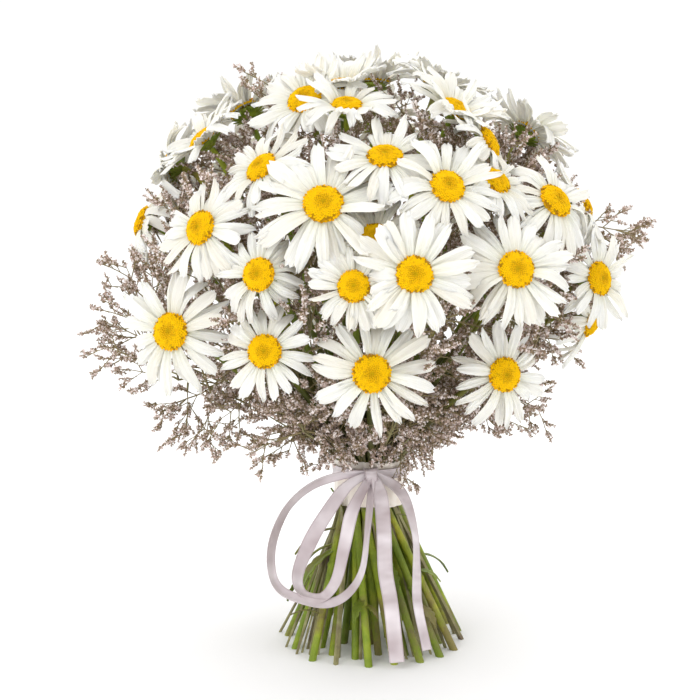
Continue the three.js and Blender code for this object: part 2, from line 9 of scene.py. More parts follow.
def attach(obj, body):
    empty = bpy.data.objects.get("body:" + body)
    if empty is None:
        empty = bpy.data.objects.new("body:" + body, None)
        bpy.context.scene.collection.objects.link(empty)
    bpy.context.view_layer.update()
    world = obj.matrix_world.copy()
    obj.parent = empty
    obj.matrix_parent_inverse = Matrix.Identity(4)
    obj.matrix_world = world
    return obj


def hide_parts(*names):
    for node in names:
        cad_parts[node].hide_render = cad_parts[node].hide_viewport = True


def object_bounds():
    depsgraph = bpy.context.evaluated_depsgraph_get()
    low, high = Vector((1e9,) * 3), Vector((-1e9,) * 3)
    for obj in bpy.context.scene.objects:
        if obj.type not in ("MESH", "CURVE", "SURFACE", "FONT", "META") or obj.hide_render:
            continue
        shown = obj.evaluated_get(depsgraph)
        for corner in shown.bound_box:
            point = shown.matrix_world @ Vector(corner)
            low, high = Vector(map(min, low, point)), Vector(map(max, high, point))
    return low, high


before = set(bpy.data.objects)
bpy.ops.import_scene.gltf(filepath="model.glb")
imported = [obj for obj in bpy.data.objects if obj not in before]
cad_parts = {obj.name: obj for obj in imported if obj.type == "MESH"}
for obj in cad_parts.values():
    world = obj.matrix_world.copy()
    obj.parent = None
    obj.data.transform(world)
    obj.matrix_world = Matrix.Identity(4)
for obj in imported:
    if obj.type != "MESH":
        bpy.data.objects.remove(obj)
cad_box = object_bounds()

MM = 0.001
UP = Vector((0, 0, 1))
RIGHT = Vector((1, 0, 0))
TURN = 2 * math.pi
dice = random.Random(731)

# The bunch, the tie and the way that the stems splay
DOME_REACH = 165
DOME_WIDEST_Z = 270
DOME_RISE = 138
DOME_FALL = 100
TIE_BOTTOM = 104
TIE_TOP = 137
TIE_PACK = 20
STEM_PITCH = 5.6
FOOT_RADIUS = 68
FOOT_TWIST = 28
STEM_BOW = 34
WRAP_RADIUS = 24
RIBBON_WIDTH = 10.5

# Each daisy: name, group of heads whose petals touch, bearing round the axis (0 is the front, 90 the
# right), height of its disc, how far it stands out of the dome, bearing and lift that it faces, radius
# over its petals, and how far its petals are cupped (above 0) or bent back (below 0), in degrees
DAISIES = [
    ("a", 4, -12, 335, 4, 0, 34, 47, -4),
    ("b", 7, 9, 293, 8, 6, 16, 41, 2),
    ("c", 8, 34, 292, 4, 14, 18, 41, -4),
    ("g", 3, 20, 345, 3, 18, 36, 39, 4),
    ("h", 3, 4, 363, 2, 0, 58, 38, 2),
    ("i", 1, -12, 393, 4, 0, 70, 35, 14),
    ("k", 4, -33, 355, 1, -50, 42, 36, 0),
    ("l", 4, -45, 316, 2, -40, 20, 38, -4),
    ("e", 4, -55, 244, 4, -25, 12, 45, -2),
    ("o", 7, -4, 285, 2, 0, 18, 30, 0),
    ("d", 7, 0, 227, 6, 3, 7, 43, -4),
    ("m", 4, -26, 290, 1, -25, 18, 34, -12),
    ("n", 4, -26, 239, 1, -9, 12, 34, -6),
    ("j", 8, 54, 331, 3, 44, 36, 42, -14),
    ("f", 6, 37, 219, 4, 24, 6, 37, -6),
    ("p", 9, 72, 274, 0, 45, 12, 38, -4),
    ("q", 2, 43, 390, 2, 60, 58, 40, 22),
    ("r", 1, -41, 396, 0, -28, 46, 41, 4),
    ("s", 5, -76, 368, 2, -79, 50, 38, 16),
    ("t", 5, -94, 346, 2, -114, 5, 38, -16),
    ("u", 5, -92, 307, 2, -87, 22, 36, -24),
    ("w", 7, 1, 312, -16, 0, 38, 34, 8),
    ("x", 3, 38, 346, -6, 46, 45, 35, 0),
    ("y", 2, 44, 370, -2, 80, 30, 37, -10),
    ("z", 1, -30, 404, 0, -20, 82, 38, 40),
    ("ab", 2, 97, 402, 0, 105, 66, 40, 30),
    ("aa", 2, 175, 404, 0, 170, 76, 40, 32),
    ("ad", 5, -108, 384, 0, -140, 50, 41, 18),
    ("ae", 9, 84, 322, -4, 90, 30, 39, -10),
    ("v", 13, 92, 236, 4, 67, -20, 40, -22),
    ("ac", 9, 100, 370, 0, 120, 45, 41, 8),
    ("af", 10, 124, 300, 0, 124, 15, 41, -4),
    ("ag", 10, 128, 238, 2, 130, 5, 41, -6),
    ("ah", 11, 160, 268, 0, 160, 12, 43, -4),
    ("ai", 11, 150, 335, 0, 150, 35, 43, -2),
    ("an", 11, 176, 370, 0, 180, 50, 43, 4),
    ("aj", 12, -165, 305, 0, -165, 18, 44, -4),
    ("ak", 12, -170, 234, 2, -170, 5, 42, -8),
    ("al", 12, -138, 335, 0, -140, 32, 43, -2),
    ("am", 12, -128, 270, 0, -128, 10, 43, -6),
]

# The sprays that stand out of the bunch, as seen: the place of each tip
OUTER_TIPS = [
    (-204, 4, 238), (-198, -14, 219), (-184, 14, 279), (-187, -8, 252), (-178, -24, 203),
    (-168, 12, 324), (-152, -20, 172), (-132, -34, 154), (-112, -58, 158), (-64, -52, 146),
    (82, -50, 162), (128, -20, 176), (134, 26, 366), (202, 8, 298), (196, 26, 284),
    (182, -16, 258), (150, 70, 214), (120, 120, 176), (30, 150, 168), (-60, 140, 172),
    (-118, 98, 186), (-40, 178, 262), (60, 180, 300), (-104, 138, 322), (96, 118, 352),
    (0, 60, 420), (-70, -10, 414), (66, -66, 402), (25, -35, 124), (-112, -66, 176), (-88, -70, 150),
    (-36, -50, 152), (50, -48, 152), (102, -52, 170), (60, 120, 150), (-20, 110, 144),
]


# Camera at the height and distance that the view was taken from
CAMERA_PLACE = Vector((-14, -1500, 479.5)) * MM
CAMERA_AIM = Vector((-14, 0, 215)) * MM
SENSOR = 36
PICTURE_PIXELS = 700
FOCAL_PIXELS = 2115


def aim_at(obj, spot):
    obj.rotation_euler = (spot - obj.location).to_track_quat("-Z", "Y").to_euler()


def add_camera():
    bpy.ops.object.camera_add(location=CAMERA_PLACE)
    camera = bpy.context.object
    aim_at(camera, CAMERA_AIM)
    camera.data.sensor_width = SENSOR
    camera.data.lens = SENSOR * FOCAL_PIXELS / PICTURE_PIXELS
    camera.data.dof.use_dof = False
    bpy.context.scene.camera = camera


add_camera()


# Directions, paths and places in millimetres
def direction(bearing, lift=0):
    b, e = math.radians(bearing), math.radians(lift)
    return Vector((math.sin(b) * math.cos(e), -math.cos(b) * math.cos(e), math.sin(e)))


def dome_reach(z):
    half = DOME_RISE if z > DOME_WIDEST_Z else DOME_FALL
    return DOME_REACH * math.sqrt(max(0, 1 - ((z - DOME_WIDEST_Z) / half) ** 2))


def curve_between(a, b, c, d, steps):
    """Points of the smooth curve from a to d that sets out towards b and comes in from c."""
    points = []
    for i in range(steps + 1):
        t = i / steps
        s = 1 - t
        points.append(a * s**3 + b * (3 * s * s * t) + c * (3 * s * t * t) + d * t**3)
    return points


def axes_at(x, y, z, origin):
    """The place of a shape whose own X, Y and Z point these ways."""
    rows = [(x[k], y[k], z[k], origin[k]) for k in range(3)]
    return Matrix(rows + [(0, 0, 0, 1)])


class Daisy:
    """One daisy: its disc, the way it faces, and where its stem passes the tie."""

    def __init__(self, name, group, bearing, height, out, facing, lift, reach, cup):
        self.name, self.group = name, group
        self.reach, self.cup, self.spread, self.twist = reach, cup, 1, 0
        self.centre = direction(bearing) * (dome_reach(height) + out) + UP * height
        self.face = direction(facing, lift)
        self.across = UP.cross(self.face).normalized()
        self.upward = self.face.cross(self.across)
        # The disc's radius grows a little with the petals
        self.disc = 6.0 + 0.152 * reach
        # The more a head leans out, the nearer its stem is to the outside of the tie
        tilt = math.atan2(dome_reach(height), height - TIE_TOP)
        self.slot = direction(bearing) * (TIE_PACK * min(1, tilt / math.radians(60)))

    def placed(self):
        return axes_at(self.across, self.upward, self.face, self.centre)

    def over(self, point):
        """How high a point is over the disc's plane, and how far from the middle of the disc it is."""
        at = point - self.centre
        height = at.dot(self.face)
        return height, (at - self.face * height).length


class Plant:
    """One limonium plant, or a stalk of it. Sprouts are the places that its twigs grow from."""

    def __init__(self, name, bearing, slot=16, spread=1):
        self.name, self.bearing, self.spread, self.twist, self.sprouts = name, bearing, spread, 0, []
        self.slot = direction(bearing) * slot


daisies = [Daisy(*row) for row in DAISIES]
quarters = ["left_front", "right_front", "right_back", "left_back"]
plants = [Plant("limonium_" + side, -45 + 90 * i) for i, side in enumerate(quarters)]


# Stems pass the tie side by side, as near to their heads' bearings as there is room
TIE_ROUNDS = 200


def share_tie(tied):
    """Pushes the stems' places in the tie apart until they no longer cross, and keeps them inside it."""
    for _ in range(TIE_ROUNDS):
        for i, a in enumerate(tied):
            for b in tied[i + 1 :]:
                apart = b.slot - a.slot
                short = STEM_PITCH - apart.length
                if short > 0:
                    apart.normalize()
                    a.slot = a.slot - apart * (0.5 * short)
                    b.slot = b.slot + apart * (0.5 * short)
        for s in tied:
            if s.slot.length > TIE_PACK:
                s.slot = s.slot * (TIE_PACK / s.slot.length)


share_tie(daisies + plants)


def foot_of(stem):
    """Where a stem ends below, splayed and turned from its place in the tie."""
    turned = Matrix.Rotation(math.radians(FOOT_TWIST + stem.twist), 3, "Z") @ stem.slot
    return turned * (FOOT_RADIUS / TIE_PACK * stem.spread)


def stem_path(stem, head, face, bow, steps=12):
    """The middle of a stem from under the floor, straight through the tie and bowed up to its head."""
    foot = foot_of(stem)
    low = stem.slot + UP * TIE_BOTTOM
    top = stem.slot + UP * TIE_TOP
    rise = (head - top).normalized()
    # It starts a little under the floor and is cut level later
    below = foot - (low - foot) * 0.08
    start = [below, foot.lerp(low, 0.35), foot.lerp(low, 0.75), low]
    return start + curve_between(top, top + rise * (bow * 1.6), head - face * bow, head, steps)


# Handling of objects
def deselect():
    bpy.ops.object.select_all(action="DESELECT")


def activate(obj):
    deselect()
    obj.select_set(True)
    bpy.context.view_layer.objects.active = obj


def start_edit(obj):
    """Opens a mesh in edit mode with all of it selected."""
    activate(obj)
    bpy.ops.object.mode_set(mode="EDIT")
    bpy.ops.mesh.select_all(action="SELECT")


def end_edit():
    bpy.ops.object.mode_set(mode="OBJECT")


def pick(obj, wanted):
    """Selects the vertices of the mesh in edit mode that wanted says yes to."""
    bpy.ops.mesh.select_mode(type="VERT")
    mesh = bmesh.from_edit_mesh(obj.data)
    for v in mesh.verts:
        v.select = bool(wanted(v))
    mesh.select_flush(True)
    bmesh.update_edit_mesh(obj.data)


def shift(x, y, z):
    bpy.ops.transform.translate(value=(x, y, z))


def pick_row(obj, y):
    pick(obj, lambda v: abs(v.co.y - y) < 0.05)


def pick_column(obj, x):
    pick(obj, lambda v: abs(v.co.x - x) < 0.05)


def narrow(y, share):
    """Narrows the picked row at y to a share of its width."""
    bpy.ops.transform.resize(value=(share, 1, 1), center_override=(0, y, 0))


def start_blade(columns, rows, width, length):
    """A flat grid with its root at the origin and its tip towards +Y, open in edit mode."""
    deselect()
    bpy.ops.mesh.primitive_grid_add(x_subdivisions=columns, y_subdivisions=rows, size=1)
    blade = bpy.context.object
    start_edit(blade)
    shift(0, 0.5, 0)
    bpy.ops.transform.resize(value=(width, length, 1), center_override=(0, 0, 0))
    return blade


def thicken(obj, thickness, offset=-1):
    """Gives a sheet its thickness, inwards where the offset is -1."""
    thick = obj.modifiers.new("thickness", "SOLIDIFY")
    thick.thickness = thickness
    thick.offset = offset
    activate(obj)
    bpy.ops.object.modifier_apply(modifier=thick.name)


def copy_of(model, matrix, **tones):
    """A copy with its own mesh, put in place, with an even tone over it for each name given."""
    piece = model.copy()
    piece.data = model.data.copy()
    piece.data.transform(matrix)
    for name, value in tones.items():
        tone = piece.data.attributes.get(name) or piece.data.attributes.new(name, "FLOAT", "POINT")
        tone.data.foreach_set("value", [value] * len(piece.data.vertices))
    bpy.context.scene.collection.objects.link(piece)
    return piece


def join(pieces, name):
    deselect()
    for p in pieces:
        p.select_set(True)
    bpy.context.view_layer.objects.active = pieces[0]
    if len(pieces) > 1:
        bpy.ops.object.join()
    whole = bpy.context.view_layer.objects.active
    whole.name = name
    whole.data.name = name
    return whole


def smooth(obj, angle=60):
    activate(obj)
    bpy.ops.object.shade_smooth_by_angle(angle=math.radians(angle))


def remove(models):
    for m in models:
        bpy.data.objects.remove(m)


def turn(angle, axis):
    return Matrix.Rotation(math.radians(angle), 4, axis)


def standing(foot, way):
    """The place of an upright shape that is put on its foot and leans over to point this way."""
    return Matrix.Translation(foot) @ UP.rotation_difference(way).to_matrix().to_4x4()


def finish_piece(obj, material, slot, *nodes):
    """Scales a piece to metres and puts it on the frame for the nodes that it stands for."""
    obj.data.transform(Matrix.Scale(MM, 4))
    obj.data.materials.clear()
    obj.data.materials.append(material)
    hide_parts(*nodes)
    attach(obj, "root")


def tubes(name, paths, roundness):
    """Tubes along several paths, each a list of (point, radius), closed at both ends."""
    curve = bpy.data.curves.new(name, "CURVE")
    curve.dimensions = "3D"
    curve.bevel_depth = 1
    curve.bevel_resolution = roundness
    curve.resolution_u = 1
    curve.use_fill_caps = True
    for path in paths:
        spline = curve.splines.new("POLY")
        spline.points.add(len(path) - 1)
        for p, (point, radius) in zip(spline.points, path):
            p.co = (*point, 1)
            p.radius = radius
    obj = bpy.data.objects.new(name, curve)
    bpy.context.scene.collection.objects.link(obj)
    activate(obj)
    bpy.ops.object.convert(target="MESH")
    return bpy.context.object


def close_seams(obj):
    start_edit(obj)
    bpy.ops.mesh.remove_doubles(threshold=0.0005)
    bpy.ops.mesh.normals_make_consistent(inside=False)
    end_edit()


def cut_level(obj):
    """Cuts the lower ends of the stems level with the floor and closes them."""
    start_edit(obj)
    bpy.ops.mesh.bisect(plane_co=(0, 0, 0.02), plane_no=(0, 0, 1), use_fill=True, clear_inner=True)
    end_edit()


# Node helpers and shared effects
def link(tree, start, end):
    tree.links.new(start, end)


def node(tree, kind, **settings):
    n = tree.nodes.new(kind)
    for key, value in settings.items():
        setattr(n, key, value)
    return n


def group(name, inputs, outputs):
    tree = bpy.data.node_groups.new(name, "ShaderNodeTree")
    for label, kind, value in inputs:
        socket = tree.interface.new_socket(label, in_out="INPUT", socket_type=kind)
        if value is not None:
            socket.default_value = value
    for label, kind in outputs:
        tree.interface.new_socket(label, in_out="OUTPUT", socket_type=kind)
    return tree, tree.nodes.new("NodeGroupInput"), tree.nodes.new("NodeGroupOutput")


def make_mottle():
    """Soft uneven patches, from 0 to 1, with a finer grain in them."""
    inputs = [("Vector", "NodeSocketVector", None), ("Scale", "NodeSocketFloat", 60.0)]
    tree, start, end = group("mottle", inputs, [("Fac", "NodeSocketFloat")])
    noise = node(tree, "ShaderNodeTexNoise")
    noise.inputs["Detail"].default_value = 5
    noise.inputs["Roughness"].default_value = 0.62
    spread = node(tree, "ShaderNodeMapRange")
    spread.inputs["From Min"].default_value = 0.3
    spread.inputs["From Max"].default_value = 0.7
    link(tree, start.outputs["Vector"], noise.inputs["Vector"])
    link(tree, start.outputs["Scale"], noise.inputs["Scale"])
    link(tree, noise.outputs["Fac"], spread.inputs["Value"])
    link(tree, spread.outputs["Result"], end.inputs["Fac"])
    return tree


def make_streaks():
    """Fine lines that run along one way of the vector, from 0 to 1."""
    inputs = [
        ("Vector", "NodeSocketVector", None),
        ("Across", "NodeSocketVector", (1.0, 1.0, 0.05)),
        ("Scale", "NodeSocketFloat", 900.0),
    ]
    tree, start, end = group("streaks", inputs, [("Fac", "NodeSocketFloat")])
    stretch = node(tree, "ShaderNodeVectorMath", operation="MULTIPLY")
    noise = node(tree, "ShaderNodeTexNoise")
    noise.inputs["Detail"].default_value = 3
    link(tree, start.outputs["Vector"], stretch.inputs[0])
    link(tree, start.outputs["Across"], stretch.inputs[1])
    link(tree, stretch.outputs["Vector"], noise.inputs["Vector"])
    link(tree, start.outputs["Scale"], noise.inputs["Scale"])
    link(tree, noise.outputs["Fac"], end.inputs["Fac"])
    return tree


mottle = make_mottle()
streaks = make_streaks()


def use(tree, effect, where, **values):
    """The value of a shared effect over the places given."""
    n = node(tree, "ShaderNodeGroup", node_tree=effect)
    for key, value in values.items():
        n.inputs[key].default_value = value
    link(tree, where, n.inputs["Vector"])
    return n.outputs["Fac"]


def part(tree, vector, axis):
    n = node(tree, "ShaderNodeSeparateXYZ")
    link(tree, vector, n.inputs["Vector"])
    return n.outputs[axis]


def ramp(tree, fac, *stops):
    """Colours along a value: stops are (place, colour)."""
    n = node(tree, "ShaderNodeValToRGB")
    bar = n.color_ramp
    while len(bar.elements) < len(stops):
        bar.elements.new(0.5)
    for element, (place, colour) in zip(bar.elements, stops):
        element.position = place
        element.color = (*colour, 1)
    link(tree, fac, n.inputs["Fac"])
    return n.outputs["Color"]


def mask(tree, fac, *stops):
    """Greys along a value: stops are (place, grey)."""
    return ramp(tree, fac, *[(place, (grey, grey, grey)) for place, grey in stops])


def mix(tree, fac, a, b, how="MIX"):
    n = node(tree, "ShaderNodeMix", data_type="RGBA", blend_type=how)
    for socket, value in ((n.inputs["Factor"], fac), (n.inputs["A"], a), (n.inputs["B"], b)):
        if isinstance(value, (int, float)):
            socket.default_value = value
        elif isinstance(value, tuple):
            socket.default_value = (*value, 1)
        else:
            link(tree, value, socket)
    return n.outputs["Result"]


def maths(tree, how, *values):
    n = node(tree, "ShaderNodeMath", operation=how)
    for socket, value in zip(n.inputs, values):
        if isinstance(value, (int, float)):
            socket.default_value = value
        else:
            link(tree, value, socket)
    return n.outputs["Value"]


def attribute(tree, name):
    return node(tree, "ShaderNodeAttribute", attribute_name=name).outputs["Fac"]


def bump(tree, shader, height, strength, distance):
    n = node(tree, "ShaderNodeBump")
    n.inputs["Strength"].default_value = strength
    n.inputs["Distance"].default_value = distance
    link(tree, height, n.inputs["Height"])
    link(tree, n.outputs["Normal"], shader.inputs["Normal"])


def new_material(name, colour, roughness, **gloss):
    """A material, its nodes, its shader and the places on the object. Gloss holds more of the shader's
    own values, with _ for the blanks in their names."""
    material = bpy.data.materials.new(name)
    material.use_nodes = True
    material.diffuse_color = (*colour, 1)
    tree = material.node_tree
    shader = tree.nodes["Principled BSDF"]
    shader.inputs["Base Color"].default_value = (*colour, 1)
    shader.inputs["Roughness"].default_value = roughness
    for key, value in gloss.items():
        shader.inputs[key.replace("_", " ")].default_value = value
    return material, tree, shader, node(tree, "ShaderNodeTexCoord").outputs


def petal_finish():
    """White with fine veins, greener at the root, each petal with its own tone, and painted light
    underneath: the undersides are made paler to stand in for light shining through the petals.
    """
    material, tree, shader, places = new_material(
        "petal_white",
        (0.86, 0.86, 0.82),
        0.5,
        Sheen_Weight=0.12,
        Subsurface_Weight=0.6,
        Subsurface_Radius=(1.0, 0.95, 0.8),
        Subsurface_Scale=0.0015,
    )
    lines = use(tree, streaks, places["UV"], Scale=30.0, Across=(1.0, 0.05, 1.0))
    along = ramp(
        tree,
        part(tree, places["UV"], "Y"),
        (0.0, (0.66, 0.68, 0.40)),
        (0.2, (0.86, 0.86, 0.73)),
        (0.5, (0.95, 0.94, 0.86)),
        (1.0, (0.97, 0.96, 0.90)),
    )
    fine = mask(tree, lines, (0.42, 0.0), (0.72, 0.7))
    veined = mix(tree, fine, along, (0.66, 0.65, 0.56))
    shade = maths(tree, "MULTIPLY", maths(tree, "POWER", attribute(tree, "shade"), 2.0), 0.55)
    toned = mix(tree, shade, veined, (0.80, 0.73, 0.60))
    # Painted light: the undersides are mixed towards a paler cream, standing in for light that shines
    # through the thin petals
    under = maths(tree, "MULTIPLY", attribute(tree, "under"), 0.5)
    link(tree, mix(tree, under, toned, (0.98, 0.97, 0.90)), shader.inputs["Base Color"])
    bump(tree, shader, lines, 0.55, 0.0006)
    return material


def disc_finish():
    """Yellow that ripens from the green dimple to the orange rim, with painted shade: some florets, most
    of them at the rim, are darkened to stand for the shaded gaps between florets.
    """
    material, tree, shader, places = new_material(
        "disc_yellow",
        (0.93, 0.58, 0.0),
        0.8,
        Specular_IOR_Level=0.2,
        Subsurface_Weight=0.1,
        Subsurface_Radius=(1.0, 0.6, 0.1),
        Subsurface_Scale=0.001,
    )
    ripe = ramp(
        tree,
        attribute(tree, "ripe"),
        (0.0, (0.48, 0.33, 0.0)),
        (0.22, (0.84, 0.46, 0.0)),
        (0.55, (0.93, 0.58, 0.0)),
        (0.85, (0.95, 0.60, 0.0)),
        (1.0, (0.86, 0.42, 0.0)),
    )
    patches = use(tree, mottle, places["Object"], Scale=900.0)
    dusty = maths(tree, "MULTIPLY", patches, 0.35)
    spotted = mix(tree, dusty, ripe, (0.98, 0.70, 0.0))
    # Painted shade: marked florets are darkened towards brown, standing in for the shaded gaps between
    # florets
    deep = maths(tree, "MULTIPLY", attribute(tree, "deep"), 0.8)
    link(tree, mix(tree, deep, spotted, (0.38, 0.17, 0.005)), shader.inputs["Base Color"])
    bump(tree, shader, patches, 0.5, 0.0003)
    return material


def stem_finish():
    """Ribbed green with brown scars, each stem with its own tone, and painted shade between the tie and
    the crown.
    """
    material, tree, shader, places = new_material(
        "stem_green", (0.20, 0.32, 0.06), 0.42, Specular_IOR_Level=0.3
    )
    lines = use(tree, streaks, places["Object"], Scale=1600.0, Across=(1.0, 1.0, 0.02))
    green = ramp(
        tree,
        use(tree, mottle, places["Object"], Scale=38.0),
        (0.0, (0.06, 0.12, 0.003)),
        (0.5, (0.18, 0.27, 0.01)),
        (1.0, (0.38, 0.43, 0.03)),
    )
    tone = ramp(
        tree,
        attribute(tree, "shade"),
        (0.0, (0.42, 0.48, 0.35)),
        (0.4, (0.85, 0.9, 0.7)),
        (0.75, (1.1, 1.05, 0.9)),
        (1.0, (1.7, 1.25, 1.6)),
    )
    toned = mix(tree, 1.0, green, tone, "MULTIPLY")
    ribs = maths(tree, "MULTIPLY", lines, 0.4)
    ribbed = mix(tree, ribs, toned, (0.36, 0.40, 0.06))
    scars = use(tree, mottle, places["Object"], Scale=21.0)
    brown = mask(tree, scars, (0.5, 0.0), (0.76, 0.8))
    scarred = mix(tree, brown, ribbed, (0.19, 0.14, 0.06))
    # Painted shade: dark between the tie and the crown, where little light gets in
    rise = maths(tree, "MULTIPLY", part(tree, places["Object"], "Z"), 3.0)
    painted_heart_shade = mask(tree, rise, (0.40, 0.0), (0.42, 0.92), (0.60, 0.75), (0.74, 0.0))
    link(tree, mix(tree, painted_heart_shade, scarred, (0.055, 0.05, 0.012)), shader.inputs["Base Color"])
    bump(tree, shader, lines, 0.6, 0.0008)
    return material


def limonium_finish():
    """Dry florets from brown stalk to pale mauve, each with its own tone."""
    material, tree, shader, places = new_material("limonium_mauve", (0.36, 0.28, 0.26), 0.85)
    patches = use(tree, mottle, places["Object"], Scale=120.0)
    floret = ramp(
        tree,
        attribute(tree, "tone"),
        (0.0, (0.27, 0.23, 0.09)),
        (0.14, (0.22, 0.16, 0.08)),
        (0.35, (0.31, 0.22, 0.15)),
        (0.62, (0.64, 0.49, 0.44)),
        (0.92, (1.0, 0.92, 0.90)),
    )
    uneven = maths(tree, "MULTIPLY", patches, 0.22)
    link(tree, mix(tree, uneven, floret, (0.42, 0.33, 0.24)), shader.inputs["Base Color"])
    bump(tree, shader, patches, 0.4, 0.0005)
    return material


def twig_finish():
    """Thin dry twigs between brown and olive."""
    material, tree, shader, places = new_material("limonium_twig", (0.16, 0.17, 0.06), 0.7)
    patches = use(tree, mottle, places["Object"], Scale=70.0)
    bark = ramp(
        tree,
        patches,
        (0.0, (0.14, 0.10, 0.06)),
        (0.5, (0.25, 0.23, 0.10)),
        (1.0, (0.42, 0.40, 0.20)),
    )
    link(tree, bark, shader.inputs["Base Color"])
    bump(tree, shader, patches, 0.5, 0.0004)
    return material


def satin_finish(name, colour, dark, weave, shade_band_scale, way, depth, edged):
    """Satin with its weave, soft bands of painted shade that run one way, and woven edges where it has
    them.
    """
    material, tree, shader, places = new_material(
        name, colour, 0.34, Sheen_Weight=0.5, Sheen_Roughness=0.4, Specular_IOR_Level=0.6
    )
    uv = places["UV"]
    threads = use(tree, streaks, uv, Scale=weave, Across=(1.0, 0.02, 1.0))
    cross = use(tree, streaks, uv, Scale=weave, Across=(0.02, 1.0, 1.0))
    # Painted shade: soft bands along the UV darken the satin towards its dark colour by as much as
    # depth, standing in for the light and shade of folds
    painted_shade_bands = use(tree, streaks, uv, Scale=shade_band_scale, Across=way)
    toned = mix(tree, mask(tree, painted_shade_bands, (0.36, 0.0), (0.68, depth)), colour, dark)
    fine = maths(tree, "MULTIPLY", threads, 0.18)
    woven_colour = mix(tree, fine, toned, dark)
    if edged:
        aside = maths(tree, "ABSOLUTE", maths(tree, "SUBTRACT", part(tree, uv, "X"), 0.5))
        edge = mask(tree, aside, (0.41, 0.0), (0.45, 0.4))
        woven_colour = mix(tree, edge, woven_colour, dark)
    link(tree, woven_colour, shader.inputs["Base Color"])
    bump(tree, shader, maths(tree, "ADD", threads, cross), 0.15, 0.0002)
    return material


PETAL_WHITE = petal_finish()
DISC_YELLOW = disc_finish()
STEM_GREEN = stem_finish()
LIMONIUM_MAUVE = limonium_finish()
LIMONIUM_TWIG = twig_finish()
# The dark colours are what the painted shade bands, the weave and the ribbon's woven edges darken
# towards
CREAM, CREAM_DARK = (1.0, 0.95, 0.87), (0.93, 0.78, 0.66)
LILAC, LILAC_DARK = (0.92, 0.86, 0.89), (0.34, 0.25, 0.26)
# The wrap's painted shade bands run up and down round it, the ribbon's come and go along its length
CREAM_SATIN = satin_finish(
    "cream_satin", CREAM, CREAM_DARK, weave=420.0, shade_band_scale=26.0, way=(1.0, 0.1, 1.0), depth=0.45,
    edged=False,
)
LILAC_SATIN = satin_finish(
    "lilac_satin", LILAC, LILAC_DARK, weave=300.0, shade_band_scale=5.0, way=(0.03, 1.0, 1.0), depth=0.9,
    edged=True,
)


# One petal, 30 long and 6 to 9 wide, its root at the origin and its tip towards +Y. Two shallow
# grooves run along it. Each shape of petal has its own outline, curl and twist.
PETAL_LENGTH = 30.0
PETAL_ROWS = 8
PETAL_COLUMNS = 4
PETAL_THICKNESS = 0.5
# Shares of the width from root to tip, heights across, and how far each corner of the tip draws back
PETAL_BLUNT = [0.42, 0.60, 0.75, 0.87, 0.95, 1.0, 1.0, 0.90, 0.62]
PETAL_POINTED = [0.46, 0.66, 0.82, 0.94, 1.0, 0.97, 0.85, 0.64, 0.32]
PETAL_RIBS = [-0.9, 0.5, -0.6, 0.5, -0.9]
PETAL_TIP = [-3.0, -0.4, -1.5, 0.0, -2.7]
# Outline, rise towards the middle, fall of the tip, twist of the tip, sideways sweep and width
PETAL_SHAPES = [
    (PETAL_BLUNT, 1.2, -2.0, 0, 0.4, 8.2),
    (PETAL_POINTED, 2.2, -5.0, 14, -0.8, 7.4),
    (PETAL_BLUNT, 0.4, 1.5, -12, 1.0, 8.6),
    (PETAL_POINTED, 2.8, -8.5, -22, 0.6, 8.0),
    (PETAL_BLUNT, 1.6, -3.5, 34, -1.6, 6.8),
    (PETAL_BLUNT, 3.0, -12.0, 8, 1.4, 7.8),
    (PETAL_POINTED, 0.0, 3.5, -30, -1.2, 6.4),
    (PETAL_BLUNT, 1.0, -1.0, 10, 2.4, 8.8),
    (PETAL_POINTED, 1.4, -3.0, -8, -2.2, 6.0),
]


def model_petal(number, outline, rise, fall, twist, sweep, width):
    petal = start_blade(PETAL_COLUMNS, PETAL_ROWS, width, PETAL_LENGTH)
    petal.name = "petal_shape_%d" % number
    for column, height in enumerate(PETAL_RIBS):
        pick_column(petal, width * (column / PETAL_COLUMNS - 0.5))
        shift(0, 0, height)
    for row, share in enumerate(outline):
        y = PETAL_LENGTH * row / PETAL_ROWS
        t = row / PETAL_ROWS
        lift = rise * math.sin(math.pi * min(1, 1.25 * t)) + fall * max(0, t - 0.4) ** 2 / 0.36
        pick_row(petal, y)
        narrow(y, share)
        bpy.ops.transform.rotate(
            value=math.radians(twist * t * t), orient_axis="Y", center_override=(0, y, 0)
        )
        shift(sweep * t * t, 0, lift)
    # The tip has two rounded teeth: its corners draw back, and so does the notch in its middle
    first = PETAL_ROWS * (PETAL_COLUMNS + 1)
    for column, back in enumerate(PETAL_TIP):
        pick(petal, lambda v: v.index == first + column)
        shift(0, back, 0)
    end_edit()
    thicken(petal, PETAL_THICKNESS, 0)
    # Marks the underside, which the petal material paints paler as painted light
    under = petal.data.attributes.new("under", "FLOAT", "POINT")
    under.data.foreach_set("value", [1.0 if v.normal.z < 0 else 0.0 for v in petal.data.vertices])
    smooth(petal)
    return petal


petal_shapes = [model_petal(i, *row) for i, row in enumerate(PETAL_SHAPES)]


def covers_disc(d, root, tip):
    """True where a petal would lie over the disc of another daisy."""
    for other in daisies:
        if other is d:
            continue
        for t in (0.45, 0.7, 0.85, 1.0):
            height, aside = other.over(root.lerp(tip, t))
            if 0 < height < 30 and aside < other.disc + 3:
                return True
    return False


# Ways that a petal gives room to the disc of a neighbour: more bend and a share of the length
PETAL_GIVES = [
    (0, 1), (-12, 1), (12, 1), (-24, 0.95), (24, 0.95), (0, 0.8), (-20, 0.8), (35, 0.9), (0, 0.65),
]


